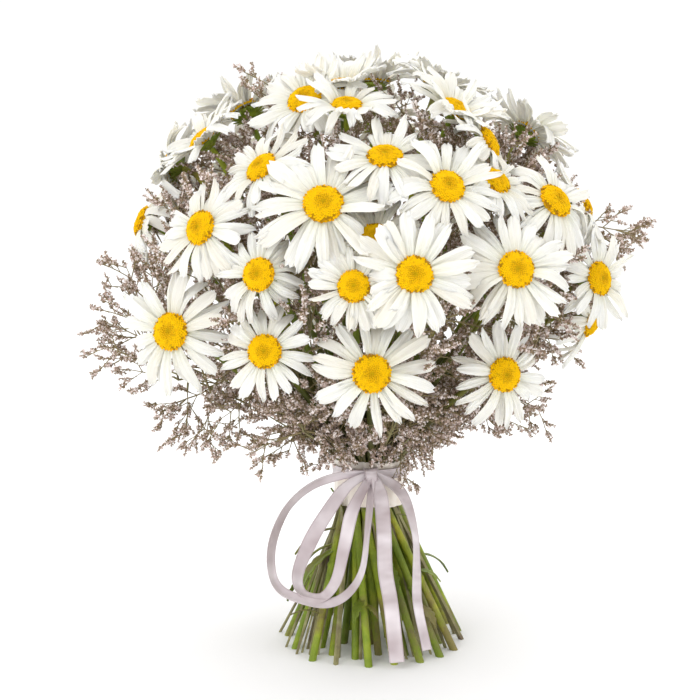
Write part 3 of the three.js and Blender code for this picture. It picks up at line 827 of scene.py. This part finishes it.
def petal_place(d, angle, bend, root, row, size):
    """The place of a petal at an angle round its disc, bent up, with its own small turns."""
    return (
        d.placed()
        @ turn(angle, "Z")
        @ Matrix.Translation((0, root, 0.4 + 0.8 * row))
        @ turn(bend, "X")
        @ turn(dice.gauss(0, 4), "Z")
        @ turn(dice.gauss(0, 12), "Y")
        @ Matrix.Diagonal((*size, 1, 1))
    )


# Daisies whose petals bend back on one side: the side (0 is the right of the head, 90 its top), degrees
DROOPS = {"m": (-10, 46), "n": (110, 12), "e": (250, 18), "l": (100, 20), "f": (0, 16)}


# Petals of a daisy: their least number and how many more a full one has, where they spring from as a
# share of the disc's radius, and how often each shape comes
PETALS_LEAST = 19
PETALS_MORE = 6
PETAL_ROOT = 0.72
PETAL_CHOICES = [0, 0, 1, 1, 2, 3, 4, 5, 6, 7, 8]


# The petals of one daisy stand in two rows, one just over the other
def add_petals(d):
    full = dice.uniform(0, 1)
    count = round(PETALS_LEAST + PETALS_MORE * full)
    towards, droop = DROOPS.get(d.name, (dice.uniform(0, 360), dice.uniform(0, 14)))
    root = PETAL_ROOT * d.disc
    length = d.reach - root
    start = dice.uniform(0, 360)
    petals = []
    for i in range(count):
        shape = petal_shapes[dice.choice(PETAL_CHOICES)]
        row = i % 2
        long = length * dice.uniform(0.88, 1.07) / PETAL_LENGTH
        wide = (1.0 + 0.15 * full) * dice.uniform(0.9, 1.14) * min(1.08, d.reach / 41)
        angle = start + 360 * (i + dice.uniform(-0.32, 0.32)) / count
        back = droop * max(0, math.cos(math.radians(angle + 90 - towards)))
        bend = d.cup + dice.gauss(2, 6) + (3 if row else -2) - back
        for more, share in PETAL_GIVES:
            place = petal_place(d, angle, bend + more, root, row, (wide, long * share))
            if not covers_disc(d, place.translation, place @ Vector((0, PETAL_LENGTH, 0))):
                break
        petals.append(copy_of(shape, place, shade=dice.uniform(0, 1)))
    whole = join(petals, "daisy_petals_" + d.name)
    finish_piece(whole, PETAL_WHITE, "petals", "petals_%d" % d.group)


for d in daisies:
    add_petals(d)
remove(petal_shapes)


# One disc floret: a small funnel with its mouth sunken, or raised where it is still a bud
def model_floret(radius, height, mouth):
    deselect()
    bpy.ops.mesh.primitive_cone_add(
        vertices=5, radius1=0, radius2=radius, depth=height, end_fill_type="TRIFAN"
    )
    floret = bpy.context.object
    start_edit(floret)
    pick(floret, lambda v: v.co.z > 0.45 * height and v.co.to_2d().length < 0.1)
    shift(0, 0, mouth)
    end_edit()
    smooth(floret, 40)
    return floret


# The disc is a dome of florets in spirals, closed buds in its dimple and open ones towards its rim.
# It is modelled at one radius and scaled for each daisy.
DISC_RADIUS = 10
DISC_RINGS = 12
DISC_FLORETS = 290
DISC_SHAPES = 3
GOLDEN_ANGLE = 137.508


def dome_height(share):
    """Height of the disc at a share of its radius, with the dimple in its middle."""
    return DISC_RADIUS * (0.40 * (1 - share**2.6) - 0.11 * math.exp(-((share / 0.3) ** 2)))


def model_disc(number):
    """A bed with the dome's form, and all the florets on it."""
    deselect()
    bpy.ops.mesh.primitive_circle_add(vertices=14, radius=DISC_RADIUS, fill_type="TRIFAN")
    bed = bpy.context.object
    start_edit(bed)
    bpy.ops.mesh.subdivide(number_cuts=2)
    for ring in range(DISC_RINGS):
        low, high = ring / DISC_RINGS, (ring + 1) / DISC_RINGS
        pick(bed, lambda v: low <= v.co.to_2d().length / (DISC_RADIUS + 0.001) < high and v.co.z == 0)
        shift(0, 0, dome_height((low + high) / 2) + 0.001)
    bpy.ops.mesh.select_all(action="SELECT")
    bpy.ops.mesh.normals_make_consistent(inside=False)
    end_edit()
    thicken(bed, 1.2)
    # The bed under the florets takes half of the painted shade
    parts = [copy_of(bed, Matrix(), ripe=0.5, deep=0.5)]
    open_floret, bud = model_floret(0.72, 1.9, -0.5), model_floret(0.55, 1.6, 0.35)
    for i in range(DISC_FLORETS):
        share = math.sqrt((i + 0.5) / DISC_FLORETS)
        angle = math.radians(i * GOLDEN_ANGLE + 40 * number)
        spot = Vector((math.cos(angle), math.sin(angle), 0)) * (DISC_RADIUS * share * 0.97)
        spot.z = dome_height(share) + dice.uniform(0.1, 0.4) + 0.45 * share**6
        lean = 34 * share**2 * dice.uniform(0.8, 1.2)
        place = (
            Matrix.Translation(spot)
            @ Matrix.Rotation(angle, 4, "Z")
            @ turn(lean, "Y")
            @ Matrix.Diagonal((1, 1, dice.uniform(0.75, 1.25), 1))
        )
        model = bud if share < 0.45 + dice.uniform(-0.05, 0.05) else open_floret
        # Painted shade: about a quarter of the rim florets are marked to be painted dark, for the shaded
        # gaps between florets; the rest only faintly
        deep = 1.0 if share > 0.84 and dice.random() < 0.26 else 0.5 * dice.random() ** 8
        parts.append(copy_of(model, place, ripe=min(1, share * dice.uniform(0.9, 1.1)), deep=deep))
    remove([bed, open_floret, bud])
    return join(parts, "disc_shape_%d" % number)


disc_shapes = [model_disc(i) for i in range(DISC_SHAPES)]


def add_disc(d, shape):
    place = d.placed() @ turn(dice.uniform(0, 360), "Z") @ Matrix.Translation((0, 0, 0.9))
    disc = copy_of(shape, place @ Matrix.Scale(d.disc / DISC_RADIUS, 4))
    disc.name = disc.data.name = "daisy_disc_" + d.name
    finish_piece(disc, DISC_YELLOW, "discs", "disc_" + d.name)


for i, d in enumerate(daisies):
    add_disc(d, disc_shapes[i % DISC_SHAPES])
remove(disc_shapes)


# The calyx: a cup with two rows of narrow bracts, modelled for the same radius as the disc. Each row of
# bracts has its number, its height, its distance from the middle and its lean.
CALYX_ROWS = [(14, -5.2, 3.0, 40), (16, -3.6, 5.4, 20)]


def model_calyx():
    deselect()
    bpy.ops.mesh.primitive_cone_add(
        vertices=16, radius1=2.4, radius2=6.8, depth=4.6, location=(0, 0, -2.9), end_fill_type="NGON"
    )
    cup = bpy.context.object
    start_edit(cup)
    bpy.ops.mesh.subdivide(number_cuts=1)
    pick(cup, lambda v: abs(v.co.z) < 0.01)
    bpy.ops.transform.resize(value=(1.48, 1.48, 1), center_override=(0, 0, -2.9))
    end_edit()
    bpy.ops.object.transform_apply(location=True, rotation=True, scale=True)
    bract = start_blade(2, 2, 2.6, 7.0)
    for y, share in ((3.5, 1.1), (7.0, 0.25), (0.0, 0.7)):
        pick_row(bract, y)
        narrow(y, share)
    pick_column(bract, 0)
    shift(0, 0, -0.35)
    end_edit()
    thicken(bract, 0.5)
    parts = [cup]
    for row, (count, low, out, lean) in enumerate(CALYX_ROWS):
        for i in range(count):
            place = (
                turn(360 * (i + 0.5 * row) / count, "Z")
                @ Matrix.Translation((0, out, low))
                @ turn(lean, "X")
                @ Matrix.Scale(0.74, 4)
            )
            parts.append(copy_of(bract, place))
    remove([bract])
    calyx = join(parts, "calyx_shape")
    smooth(calyx, 50)
    return calyx


def add_calyxes():
    shape = model_calyx()
    calyxes = [
        copy_of(shape, d.placed() @ Matrix.Scale(d.disc / DISC_RADIUS, 4), shade=dice.uniform(0.3, 0.8))
        for d in daisies
    ]
    remove([shape])
    finish_piece(join(calyxes, "daisy_calyxes"), STEM_GREEN, "stems", "stems")


add_calyxes()


# Daisy stems: a little thicker at their cut ends, and each with one joint below the tie, where it
# swells by these shares at these distances along it
STEM_RADIUS = 2.9
STEM_TAPER = 0.9
JOINT_RADIUS = 2.8
JOINT_SWELLS = [(-2.2, 1), (-0.7, 1.22), (0.6, 1.2), (1.8, 1)]


def stem_of(d):
    neck = d.centre - d.face * (0.62 * d.disc)
    path = stem_path(d, neck, d.face, STEM_BOW)
    count = len(path) - 1
    line = [(p, STEM_RADIUS - STEM_TAPER * i / count) for i, p in enumerate(path)]
    low, high = path[1], path[2]
    way = (high - low).normalized()
    joint = low.lerp(high, dice.uniform(0.1, 0.9))
    ring = [(joint + way * along, JOINT_RADIUS * swell) for along, swell in JOINT_SWELLS]
    return line[:2] + ring + line[2:]


def add_stems():
    stems = []
    for d in daisies:
        stem = tubes("stem", [stem_of(d)], 2)
        close_seams(stem)
        stems.append(copy_of(stem, Matrix(), shade=dice.uniform(0, 1)))
        remove([stem])
    whole = join(stems, "daisy_stems")
    cut_level(whole)
    smooth(whole, 50)
    finish_piece(whole, STEM_GREEN, "stems", "stems")


add_stems()


# Leaves and dry shoots left on the lower stems: the place that each is nearest to, its bearing, its
# lift, length and width
LEAVES = [
    (-50, -42, 74, -68, -50, 44, 12), (-29, -14, 84, -78, 82, 34, 9), (-42, -36, 88, -82, -30, 38, 3),
    (-46, -34, 78, -88, -42, 36, 3), (50, -34, 58, 80, -24, 20, 9), (-8, -58, 44, -24, -40, 22, 8),
    (-2, -56, 40, 48, -30, 16, 6), (32, -30, 96, 74, 4, 13, 2.4), (-30, -54, 30, -70, 6, 24, 2.4),
    (20, -52, 66, 22, -52, 26, 7), (40, -50, 36, 46, -40, 22, 10), (60, 20, 60, 110, -34, 30, 9),
    (0, 56, 46, 165, -30, 36, 10), (-50, 30, 46, -120, -44, 34, 11), (34, 50, 76, 140, -52, 32, 9),
    (-16, 50, 84, -160, -46, 28, 8),
]
LEAF_LENGTH = 30
LEAF_WIDTH = 9
LEAF_ROWS = 14


def model_leaf():
    """A leaf with toothed edges, arched along its length and hollow along its middle."""
    leaf = start_blade(4, LEAF_ROWS, LEAF_WIDTH, LEAF_LENGTH)
    for row in range(LEAF_ROWS + 1):
        t = row / LEAF_ROWS
        y = LEAF_LENGTH * t
        width = 0.12 + 0.9 * math.sin(math.pi * min(1, 0.12 + 0.86 * t)) ** 1.3
        tooth = 1.0 if row % 3 else 0.68
        pick_row(leaf, y)
        narrow(y, width * tooth)
        shift(0, 0, 4.5 * math.sin(math.pi * t))
    pick_column(leaf, 0)
    shift(0, 0, -0.7)
    end_edit()
    thicken(leaf, 0.5)
    smooth(leaf)
    return leaf


def add_leaves():
    shape = model_leaf()
    leaves = []
    for x, y, z, bearing, lift, length, width in LEAVES:
        share = z / TIE_BOTTOM
        spots = [foot_of(d).lerp(d.slot + UP * TIE_BOTTOM, share) for d in daisies]
        root = min(spots, key=lambda s: (s - Vector((x, y, z))).length)
        way = direction(bearing, lift)
        side = way.cross(UP).normalized()
        size = (width / LEAF_WIDTH, length / LEAF_LENGTH, length / LEAF_LENGTH, 1)
        place = axes_at(side, way, side.cross(way), root) @ Matrix.Diagonal(size)
        leaves.append(copy_of(shape, place, shade=dice.uniform(0.0, 0.3)))
    remove([shape])
    finish_piece(join(leaves, "stem_leaves"), STEM_GREEN, "stems", "stems")


add_leaves()


# Limonium. One papery floret is a small funnel with three corners.
def model_funnel():
    deselect()
    bpy.ops.mesh.primitive_cone_add(
        vertices=3, radius1=0, radius2=1.1, depth=2.0, location=(0, 0, 1.0), end_fill_type="NGON"
    )
    funnel = bpy.context.object
    bpy.ops.object.transform_apply(location=True, rotation=False, scale=False)
    start_edit(funnel)
    pick(funnel, lambda v: v.co.z > 1.9 and v.co.x > 0.5)
    shift(0.2, 0, 0.5)
    end_edit()
    return funnel


# A spike: florets in two close ranks on a thin curved stalk
def model_spike(number, funnel, shortest, longest):
    length = dice.uniform(shortest, longest)
    lean = dice.uniform(-3, 5)
    points = [Vector((0, lean * (i / 3) ** 2, length * i / 3)) for i in range(4)]
    stalk = tubes("stalk", [[(p, 0.38 - 0.05 * i) for i, p in enumerate(points)]], 0)
    parts = [copy_of(stalk, Matrix(), tone=0.1)]
    remove([stalk])
    count = round(length * 2.0)
    for i in range(count):
        t = (i + 1) / (count + 0.5)
        at = Vector((0, lean * t * t, length * t))
        size = (1.15 - 0.45 * t) * dice.uniform(0.75, 1.2)
        place = (
            Matrix.Translation(at)
            @ turn(180 * (i % 2) + dice.uniform(-75, 75), "Z")
            @ turn(dice.uniform(25, 75), "X")
            @ Matrix.Scale(size, 4)
        )
        tone = 0.42 + 0.28 * t + dice.gauss(0, 0.36)
        parts.append(copy_of(funnel, place, tone=max(0.16, min(1, tone))))
    return join(parts, "spike_shape_%d" % number)


funnel = model_funnel()
spikes = [model_spike(i, funnel, 13, 20) for i in range(6)]
short_spikes = [model_spike(i + 6, funnel, 6, 10) for i in range(4)]
remove([funnel])


# A spray: a forked twig with a spike at the end of each fork. Its foot is at the origin and its tips are
# at about its length. An airy one has longer forks, more of them and shorter spikes.
SPRAY_LENGTH = 46


def model_spray(number, airy):
    twigs = []
    parts = []
    main = [Vector((0, 0, 0))]
    for i in range(1, 5):
        main.append(main[-1] + Vector((dice.uniform(-1.6, 1.6), dice.uniform(-1.6, 1.6), 9)))
    twigs.append([(p, 0.7 - 0.09 * i) for i, p in enumerate(main)])
    forks = [(main[-1], Vector((0, 0, 1)))]
    for i in range(7):
        base = main[1 + i % 4]
        way = direction(GOLDEN_ANGLE * i + dice.uniform(-25, 25), dice.uniform(25, 55))
        end = base + way * (dice.uniform(12, 24) if airy else dice.uniform(6, 17))
        twigs.append([(base, 0.45), (base.lerp(end, 0.5) + UP * 0.8, 0.38), (end, 0.32)])
        forks.append((end, (way + UP * 0.6).normalized()))
        for k in range(3 if airy else i % 2):
            half = base.lerp(end, 0.4 + 0.22 * k if airy else 0.55)
            aside = (way + direction(dice.uniform(0, 360), 40)).normalized()
            out = half + aside * (4 if airy else 6)
            twigs.append([(half, 0.35), (out, 0.3)])
            forks.append((out, aside))
    for end, way in forks:
        spike = dice.choice(short_spikes if airy else spikes)
        place = standing(end, way) @ turn(dice.uniform(0, 360), "Z")
        size = dice.uniform(0.8, 1.1)
        parts.append(copy_of(spike, place @ Matrix.Scale(size, 4)))
    wood = tubes("twigs", twigs, 0)
    parts.append(copy_of(wood, Matrix(), tone=0.05))
    remove([wood])
    return join(parts, "spray_shape_%d" % number)


sprays = [model_spray(i, False) for i in range(6)]
airy_sprays = [model_spray(i + 6, True) for i in range(3)]
remove(spikes + short_spikes)


def stalk_path(plant):
    """The main stalk of a plant, up to the middle of its quarter of the bunch."""
    crown = direction(plant.bearing) * 56 + UP * 200
    return stem_path(plant, crown, direction(plant.bearing, 50), 16)


def plant_of(point):
    """The plant in whose quarter of the bunch a point is."""
    bearing = math.degrees(math.atan2(point.x, -point.y))
    return plants[((math.floor(bearing / 90) + 4) % 4 + 1) % 4]


# Numbers of sprays, stalks and twigs, and how far past the bunch's size a spray may reach
SKIRT_SPRAYS = 82
GAP_SPRAYS = 108
INNER_SPRAYS = 57
CROWN_SPRAYS = 3
STALKS_A_PLANT = 7
TWIGS_A_FAN = 24
SPRAY_ROOM = 4


def behind_heads(tip, room):
    """Moves a tip back where its spray would stand in front of a daisy's petals. The spray is looked at
    at its tip, 14 and 28 further in, where it needs less and less room behind the petals."""
    inward = (UP * 200 - tip).normalized()
    for d in daisies:
        for back, least in ((0, room), (14, 6), (28, 4)):
            height, aside = d.over(tip + inward * back)
            if -least < height < 60 and aside < 0.96 * d.reach:
                tip = tip - d.face * (height + least)
    return tip


def spray_tips():
    """Where the sprays end, how large they are and their shapes: those that stand out, then the skirt
    over the tie, then the gaps between the heads and the mass behind them."""
    tips = [(Vector(p), dice.uniform(0.8, 1.0), airy_sprays) for p in OUTER_TIPS]
    for i in range(SKIRT_SPRAYS):
        rise = (i + 0.5) / SKIRT_SPRAYS
        out = 30 + 74 * rise + dice.uniform(-8, 8)
        tip = direction(i * GOLDEN_ANGLE) * out + UP * (152 + 46 * rise + dice.uniform(-6, 6))
        tip = behind_heads(tip, 9)
        tips.append((tip, dice.uniform(0.85, 1.1), sprays))
    for i in range(GAP_SPRAYS):
        z = 192 + 194 * (i + 0.5) / GAP_SPRAYS
        out = dome_reach(z) * dice.uniform(0.88, 1.0)
        tip = direction(i * GOLDEN_ANGLE) * out + UP * z
        tip = behind_heads(behind_heads(tip, 11), 11)
        tips.append((tip, dice.uniform(0.85, 1.1), sprays))
    for i in range(CROWN_SPRAYS):
        tip = direction(360 * i / CROWN_SPRAYS) * dice.uniform(4, 16) + UP * dice.uniform(382, 402)
        tips.append((tip, dice.uniform(0.9, 1.1), sprays))
    for i in range(INNER_SPRAYS):
        z = 200 + 180 * (i + 0.5) / INNER_SPRAYS
        out = dome_reach(z) * dice.uniform(0.62, 0.84)
        tip = behind_heads(direction(i * GOLDEN_ANGLE + 60) * out + UP * z, 20)
        tips.append((tip, dice.uniform(1.2, 1.5), sprays))
    return tips


def thin_stalks(plant):
    """More stalks of a plant, thin ones at the outside of the tie."""
    paths = []
    for i in range(STALKS_A_PLANT):
        bearing = plant.bearing + 90 * ((i + 0.5) / STALKS_A_PLANT - 0.5) + dice.uniform(-5, 5)
        stalk = Plant(plant.name, bearing, 20.8, dice.uniform(0.74, 0.95))
        stalk.twist = dice.uniform(-34, 26)
        crown = direction(bearing) * dice.uniform(46, 90) + UP * dice.uniform(168, 205)
        path = stem_path(stalk, crown, direction(bearing, 40), 12, 8)
        thick = dice.uniform(0.9, 1.5)
        paths.append([(p, thick * (1 - 0.045 * k)) for k, p in enumerate(path)])
    return paths


def fan_twigs(plant):
    """Fine bare twigs that fan out over the top of the tie."""
    paths = []
    for i in range(TWIGS_A_FAN):
        bearing = plant.bearing + 90 * ((i + 0.5) / TWIGS_A_FAN - 0.5)
        root = direction(bearing) * dice.uniform(17, 21.5) + UP * 131
        end = direction(bearing + dice.uniform(-24, 24)) * dice.uniform(34, 62)
        end = end + UP * dice.uniform(156, 184)
        middle = root.lerp(end, 0.5) + UP * dice.uniform(2, 8)
        paths.append([(root, 0.6), (middle, 0.5), (end, 0.4)])
    return paths


def under_disc(foot, tip):
    """The daisy whose disc a spray from foot to tip would hide, if there is one."""
    for d in daisies:
        for t in (0.0, 0.25, 0.5, 0.75, 1.0):
            height, aside = d.over(foot.lerp(tip, t))
            if -2 < height < 70 and aside < d.disc + 17:
                return d
    return None


def spray_line(plant, tip, size):
    """The twig from the nearest sprout to a spray, then the spray's foot, way and size. A spray near its
    sprout is made smaller to fit, and points straight away from it."""
    far = [s for s in plant.sprouts if (s - tip).length > SPRAY_LENGTH * size]
    root = min(far or plant.sprouts[:4], key=lambda s: (s - tip).length + dice.uniform(0, 20))
    reach = (tip - root).length
    middle = root.lerp(tip, 0.5) + UP * reach * dice.uniform(-0.16, 0.08)
    size = min(size, reach / SPRAY_LENGTH)
    path = []
    for t in [k / 7 for k in range(8)]:
        path.append(root * (1 - t) ** 2 + middle * (2 * t * (1 - t)) + tip * t * t)
    way = (path[7] - path[6]).normalized() if reach > 72 * size else (tip - root).normalized()
    foot = tip - way * (SPRAY_LENGTH * size)
    keep = [p for p in path if (p - tip).length > 50 * size] or [root]
    return keep + [foot], foot, way, size


# A spray is tried at several turns on its twig. Only some of its vertices are looked at, and only the
# daisies near its foot. A vertex over a disc counts as much as a dozen over petals.
TURNS_TRIED = 8
VERTEX_STEP = 9
NEAR_FOOT = 110
DISC_COUNTS = 12


def clearest(shape, foot, way, size):
    """The place of a spray, turned on its twig to where its florets hide least of the daisies."""
    near = [d for d in daisies if (d.centre - foot).length < NEAR_FOOT]
    upright = standing(foot, way)
    sampled = list(shape.data.vertices)[::VERTEX_STEP]
    start = dice.uniform(0, 360)
    least, best = None, None
    for i in range(TURNS_TRIED):
        place = upright @ turn(start + 360 / TURNS_TRIED * i, "Z") @ Matrix.Scale(size, 4)
        hidden = 0
        for v in sampled:
            spot = place @ v.co
            for d in near:
                at = spot - d.centre
                height = at.dot(d.face)
                if 1 < height < 50:
                    aside = (at - d.face * height).length
                    hidden += DISC_COUNTS if aside < d.disc + 1 else aside < 0.9 * d.reach
        if least is None or hidden < least:
            least, best = hidden, place
        if not hidden:
            break
    return best


def back_inside(shape, place):
    """How far a spray has to move so that it stays within the size of the bunch."""
    spots = [place @ v.co for v in shape.data.vertices]
    moves = []
    for low, high, values in zip(*cad_box, zip(*spots)):
        least, most = low / MM - SPRAY_ROOM, high / MM + SPRAY_ROOM
        moves.append(max(0, least - min(values)) + min(0, most - max(values)))
    return Vector(moves)


def add_limonium():
    """Grows the stalks first, then a twig and a spray for each tip, tried again further in where the
    spray would hide a disc, and left out where it still would."""
    twigs = {p.name: [] for p in plants}
    heads = {p.name: [] for p in plants}
    for plant in plants:
        path = stalk_path(plant)
        twigs[plant.name].append([(p, 1.9 - 0.06 * i) for i, p in enumerate(path)])
        plant.sprouts += path[5:]
        twigs[plant.name] += fan_twigs(plant)
        for thin in thin_stalks(plant):
            twigs[plant.name].append(thin)
            plant.sprouts += [p for p, _ in thin[5:]]
    for tip, wanted, shapes in spray_tips():
        plant = plant_of(tip)
        for _ in range(5):
            line, foot, way, size = spray_line(plant, tip, wanted)
            hidden = under_disc(foot, tip)
            if not hidden:
                break
            tip = tip - hidden.face * 11
        else:
            continue
        shape = dice.choice(shapes)
        place = clearest(shape, foot, way, size)
        inward = back_inside(shape, place)
        line[-1] = line[-1] + inward
        twigs[plant.name].append([(p, max(0.45, 0.85 - 0.06 * i)) for i, p in enumerate(line)])
        heads[plant.name].append(copy_of(shape, Matrix.Translation(inward) @ place))
        plant.sprouts += line[1:-1]
    for plant in plants:
        wood = tubes("wood", twigs[plant.name], 0)
        close_seams(wood)
        cut_level(wood)
        wood.name = wood.data.name = plant.name + "_twigs"
        smooth(wood, 70)
        finish_piece(wood, LIMONIUM_TWIG, "limonium", plant.name)
        whole = join(heads[plant.name], plant.name + "_sprays")
        finish_piece(whole, LIMONIUM_MAUVE, "limonium", plant.name)


add_limonium()
remove(sprays + airy_sprays)


# The ribbon's loops and tails, along the middle of the strip. The fourth number is the share of the
# width that faces the front; the rest lies along Y.
LOOP_OUTER = [
    (2, -31, 131, 0.9), (-20, -37, 131, 0.8), (-41, -43, 125, 0.62), (-58, -47, 110, 0.5),
    (-68, -54, 88, 0.55), (-69, -60, 68, 0.5), (-63, -63, 55, 0.4), (-48, -65, 48, 0.3),
    (-30, -67, 46, 0.3), (-16, -67, 53, 0.34), (-6, -63, 68, 0.34), (-2, -56, 92, 0.4),
    (2, -31, 129, 0.9),
]
LOOP_INNER = [
    (2, -31, 132, 0.9), (-16, -36, 123, 0.9), (-31, -43, 104, 0.95), (-43, -49, 84, 1),
    (-51, -53, 62, 0.8), (-47, -57, 50, 0.35), (-34, -60, 48, 0.35), (-24, -58, 60, 0.6),
    (-18, -52, 84, 0.8), (-12, -44, 108, 0.9), (1, -32, 130, 0.9),
]
TAIL_FRONT = [
    (3, -32, 131, 0.9), (8, -42, 115, 1), (10, -51, 92, 1), (11, -55, 66, 1), (15, -60, 42, 1),
    (19, -77, 6, 1),
]
TAIL_SIDE = [
    (4, -31, 131, 0.8), (23, -33, 117, 0.55), (32, -44, 92, 0.42), (33, -56, 66, 0.5),
    (34, -64, 44, 0.6), (40, -74, 14, 0.6),
]


def smooth_path(points, steps):
    """Points of a curve that runs through all the given ones."""
    points = [Vector(p[:3]) for p in points]
    path = []
    spans = len(points) - 1
    for k in range(steps + 1):
        at = min(spans - 1e-6, spans * k / steps)
        i = int(at)
        t = at - i
        p1, p2 = points[i], points[i + 1]
        p0 = points[i - 1] if i else p1 * 2 - p2
        p3 = points[i + 2] if i + 2 <= spans else p2 * 2 - p1
        path.append(
            0.5
            * (
                p1 * 2
                + (p2 - p0) * t
                + (p0 * 2 - p1 * 5 + p2 * 4 - p3) * t * t
                + (p1 * 3 - p0 - p2 * 3 + p3) * t**3
            )
        )
    return path


def share_at(points, t):
    """The fourth number at a share of the path's length."""
    at = t * (len(points) - 1)
    i = min(len(points) - 2, int(at))
    return points[i][3] + (points[i + 1][3] - points[i][3]) * (at - i)


def strip(points, steps, width_at, thickness=0.4, across=None):
    """A length of ribbon along a path, a little hollow across its width. The path's fourth numbers say
    how far its face turns to the front, unless one way across is given for the whole of it."""
    deselect()
    bpy.ops.mesh.primitive_grid_add(x_subdivisions=6, y_subdivisions=steps, size=1)
    ribbon = bpy.context.object
    path = smooth_path(points, steps)
    for v in ribbon.data.vertices:
        row = round((v.co.y + 0.5) * steps)
        way = (path[min(row + 1, steps)] - path[max(row - 1, 0)]).normalized()
        t = row / steps
        if across:
            side = across.copy()
        else:
            share = share_at(points, t)
            side = way.cross(Vector((0, 1, 0))).normalized() * share
            side.y += math.sqrt(1 - share * share)
        side = (side - way * side.dot(way)).normalized()
        normal = side.cross(way)
        u = v.co.x * 2
        hollow = 0.9 * (1 - u * u) + 0.4 * math.sin(14 * t + 2.4 * u)
        v.co = path[row] + side * (u * width_at(t) / 2) + normal * hollow
    thicken(ribbon, thickness, 0)
    return ribbon


def loop_width(t):
    """Drawn together where the loop goes into the knot at both ends."""
    return RIBBON_WIDTH * (0.5 + 0.5 * min(1, 8 * min(t, 1 - t)))


def tail_width(t):
    """Drawn together where the tail comes out of the knot."""
    return RIBBON_WIDTH * (0.5 + 0.5 * min(1, 6 * t))


# The band of the knot, from under it over its front and back under it
KNOT = [
    (0.6, -26.5, 132.5), (0.6, -29.5, 135.2), (0.8, -33.5, 135), (1.2, -36, 131.5), (1.6, -35.4, 127.5),
    (1.8, -31.5, 124.5), (1.8, -27, 125),
]
BELT_RADIUS = 27.2
BELT_POINTS = 24


def belt_width(t):
    return RIBBON_WIDTH * (0.8 - 0.14 * math.cos(TURN * t))


def knot_width(t):
    return RIBBON_WIDTH * (1.05 - 0.5 * t)


def add_ribbon():
    belt = []
    for i in range(BELT_POINTS + 1):
        rise = 1.2 * math.cos(TURN * i / BELT_POINTS)
        belt.append(direction(360 * i / BELT_POINTS) * BELT_RADIUS + UP * (128 + rise))
    parts = [
        strip(LOOP_OUTER, 90, loop_width),
        strip(LOOP_INNER, 76, loop_width),
        strip(TAIL_FRONT, 50, tail_width),
        strip(TAIL_SIDE, 50, tail_width),
        strip(belt, 96, belt_width, across=UP),
        strip(KNOT, 24, knot_width, 0.5, RIGHT),
    ]
    whole = join(parts, "ribbon_bow")
    smooth(whole)
    finish_piece(whole, LILAC_SATIN, "ribbon", "ribbon")


# The cream satin wrap, drawn in round the stems in shallow pleats
WRAP_COLUMNS = 96
WRAP_ROWS = 12
WRAP_HEIGHT = TIE_TOP - TIE_BOTTOM
# The end of the wrap lies folded over its front: bearing, distance from the axis and height
WRAP_END = [(-6, 25.6, 127), (8, 26.8, 123), (22, 27.8, 118), (36, 28.0, 113), (50, 27.0, 109.5)]
WRAP_END_WIDTH = 12


def add_wrap():
    deselect()
    bpy.ops.mesh.primitive_cylinder_add(
        vertices=WRAP_COLUMNS, radius=WRAP_RADIUS, depth=WRAP_HEIGHT, end_fill_type="NOTHING"
    )
    wrap = bpy.context.object
    start_edit(wrap)
    bpy.ops.mesh.select_all(action="DESELECT")
    bpy.ops.mesh.select_mode(type="EDGE")
    mesh = bmesh.from_edit_mesh(wrap.data)
    for e in mesh.edges:
        e.select = abs(e.verts[0].co.z - e.verts[1].co.z) > 1
    mesh.select_flush_mode()
    bmesh.update_edit_mesh(wrap.data)
    bpy.ops.mesh.subdivide(number_cuts=WRAP_ROWS - 1)
    end_edit()
    for v in wrap.data.vertices:
        a = math.atan2(v.co.y, v.co.x)
        h = v.co.z / WRAP_HEIGHT * 2
        drift = 0.5 * h * math.sin(2 * a + 1.2)
        pleat = 0.8 * math.sin(11 * a + 3.5 * drift) + 0.5 * math.sin(23 * a - 3 * drift + 1)
        waist = 0.9 * h * h
        out = 1 + (pleat * (0.7 + 0.3 * abs(h)) + waist) / WRAP_RADIUS
        v.co.x *= out
        v.co.y *= out
        v.co.z += (TIE_TOP + TIE_BOTTOM) / 2 + 0.8 * abs(h) * math.sin(3 * a + 0.6)
    thicken(wrap, 0.6, 1)
    end = [(*(direction(bearing) * out).to_2d(), z, 0.97) for bearing, out, z in WRAP_END]
    whole = join([wrap, strip(end, 24, lambda t: WRAP_END_WIDTH, 0.6)], "satin_wrap")
    smooth(whole)
    finish_piece(whole, CREAM_SATIN, "wrap", "wrap")


add_wrap()
add_ribbon()


# Floor and light: an even white sky, and area lights, each with its place, its size and its power. The
# first stands at the left of the front, a weak one at the right and one behind.
FLOOR_SIZE = 110
FLOOR_PALE = 0.95
SKY_STRENGTH = 1.12
LIGHTS = [((-1.1, -1.5, 1.5), 1.0, 11), ((1.4, -1.0, 0.9), 1.4, 2), ((0.2, 1.3, 1.6), 1.4, 9)]
LIGHTS_AIM = Vector((0, 0, 0.25))


def add_studio():
    deselect()
    bpy.ops.mesh.primitive_plane_add(size=FLOOR_SIZE, location=(0, 0, 0))
    floor = bpy.context.object
    floor.name = "floor"
    material = bpy.data.materials.new("floor_pale")
    material.use_nodes = True
    shader = material.node_tree.nodes["Principled BSDF"]
    shader.inputs["Base Color"].default_value = (FLOOR_PALE, FLOOR_PALE, FLOOR_PALE, 1)
    shader.inputs["Roughness"].default_value = 0.9
    floor.data.materials.append(material)
    world = bpy.data.worlds.new("studio")
    world.use_nodes = True
    sky = world.node_tree.nodes["Background"]
    sky.inputs["Color"].default_value = (1, 1, 1, 1)
    sky.inputs["Strength"].default_value = SKY_STRENGTH
    bpy.context.scene.world = world
    bpy.context.scene.view_settings.view_transform = "Standard"
    for place, size, power in LIGHTS:
        bpy.ops.object.light_add(type="AREA", location=place)
        light = bpy.context.object
        light.data.size = size
        light.data.energy = power
        aim_at(light, LIGHTS_AIM)


add_studio()
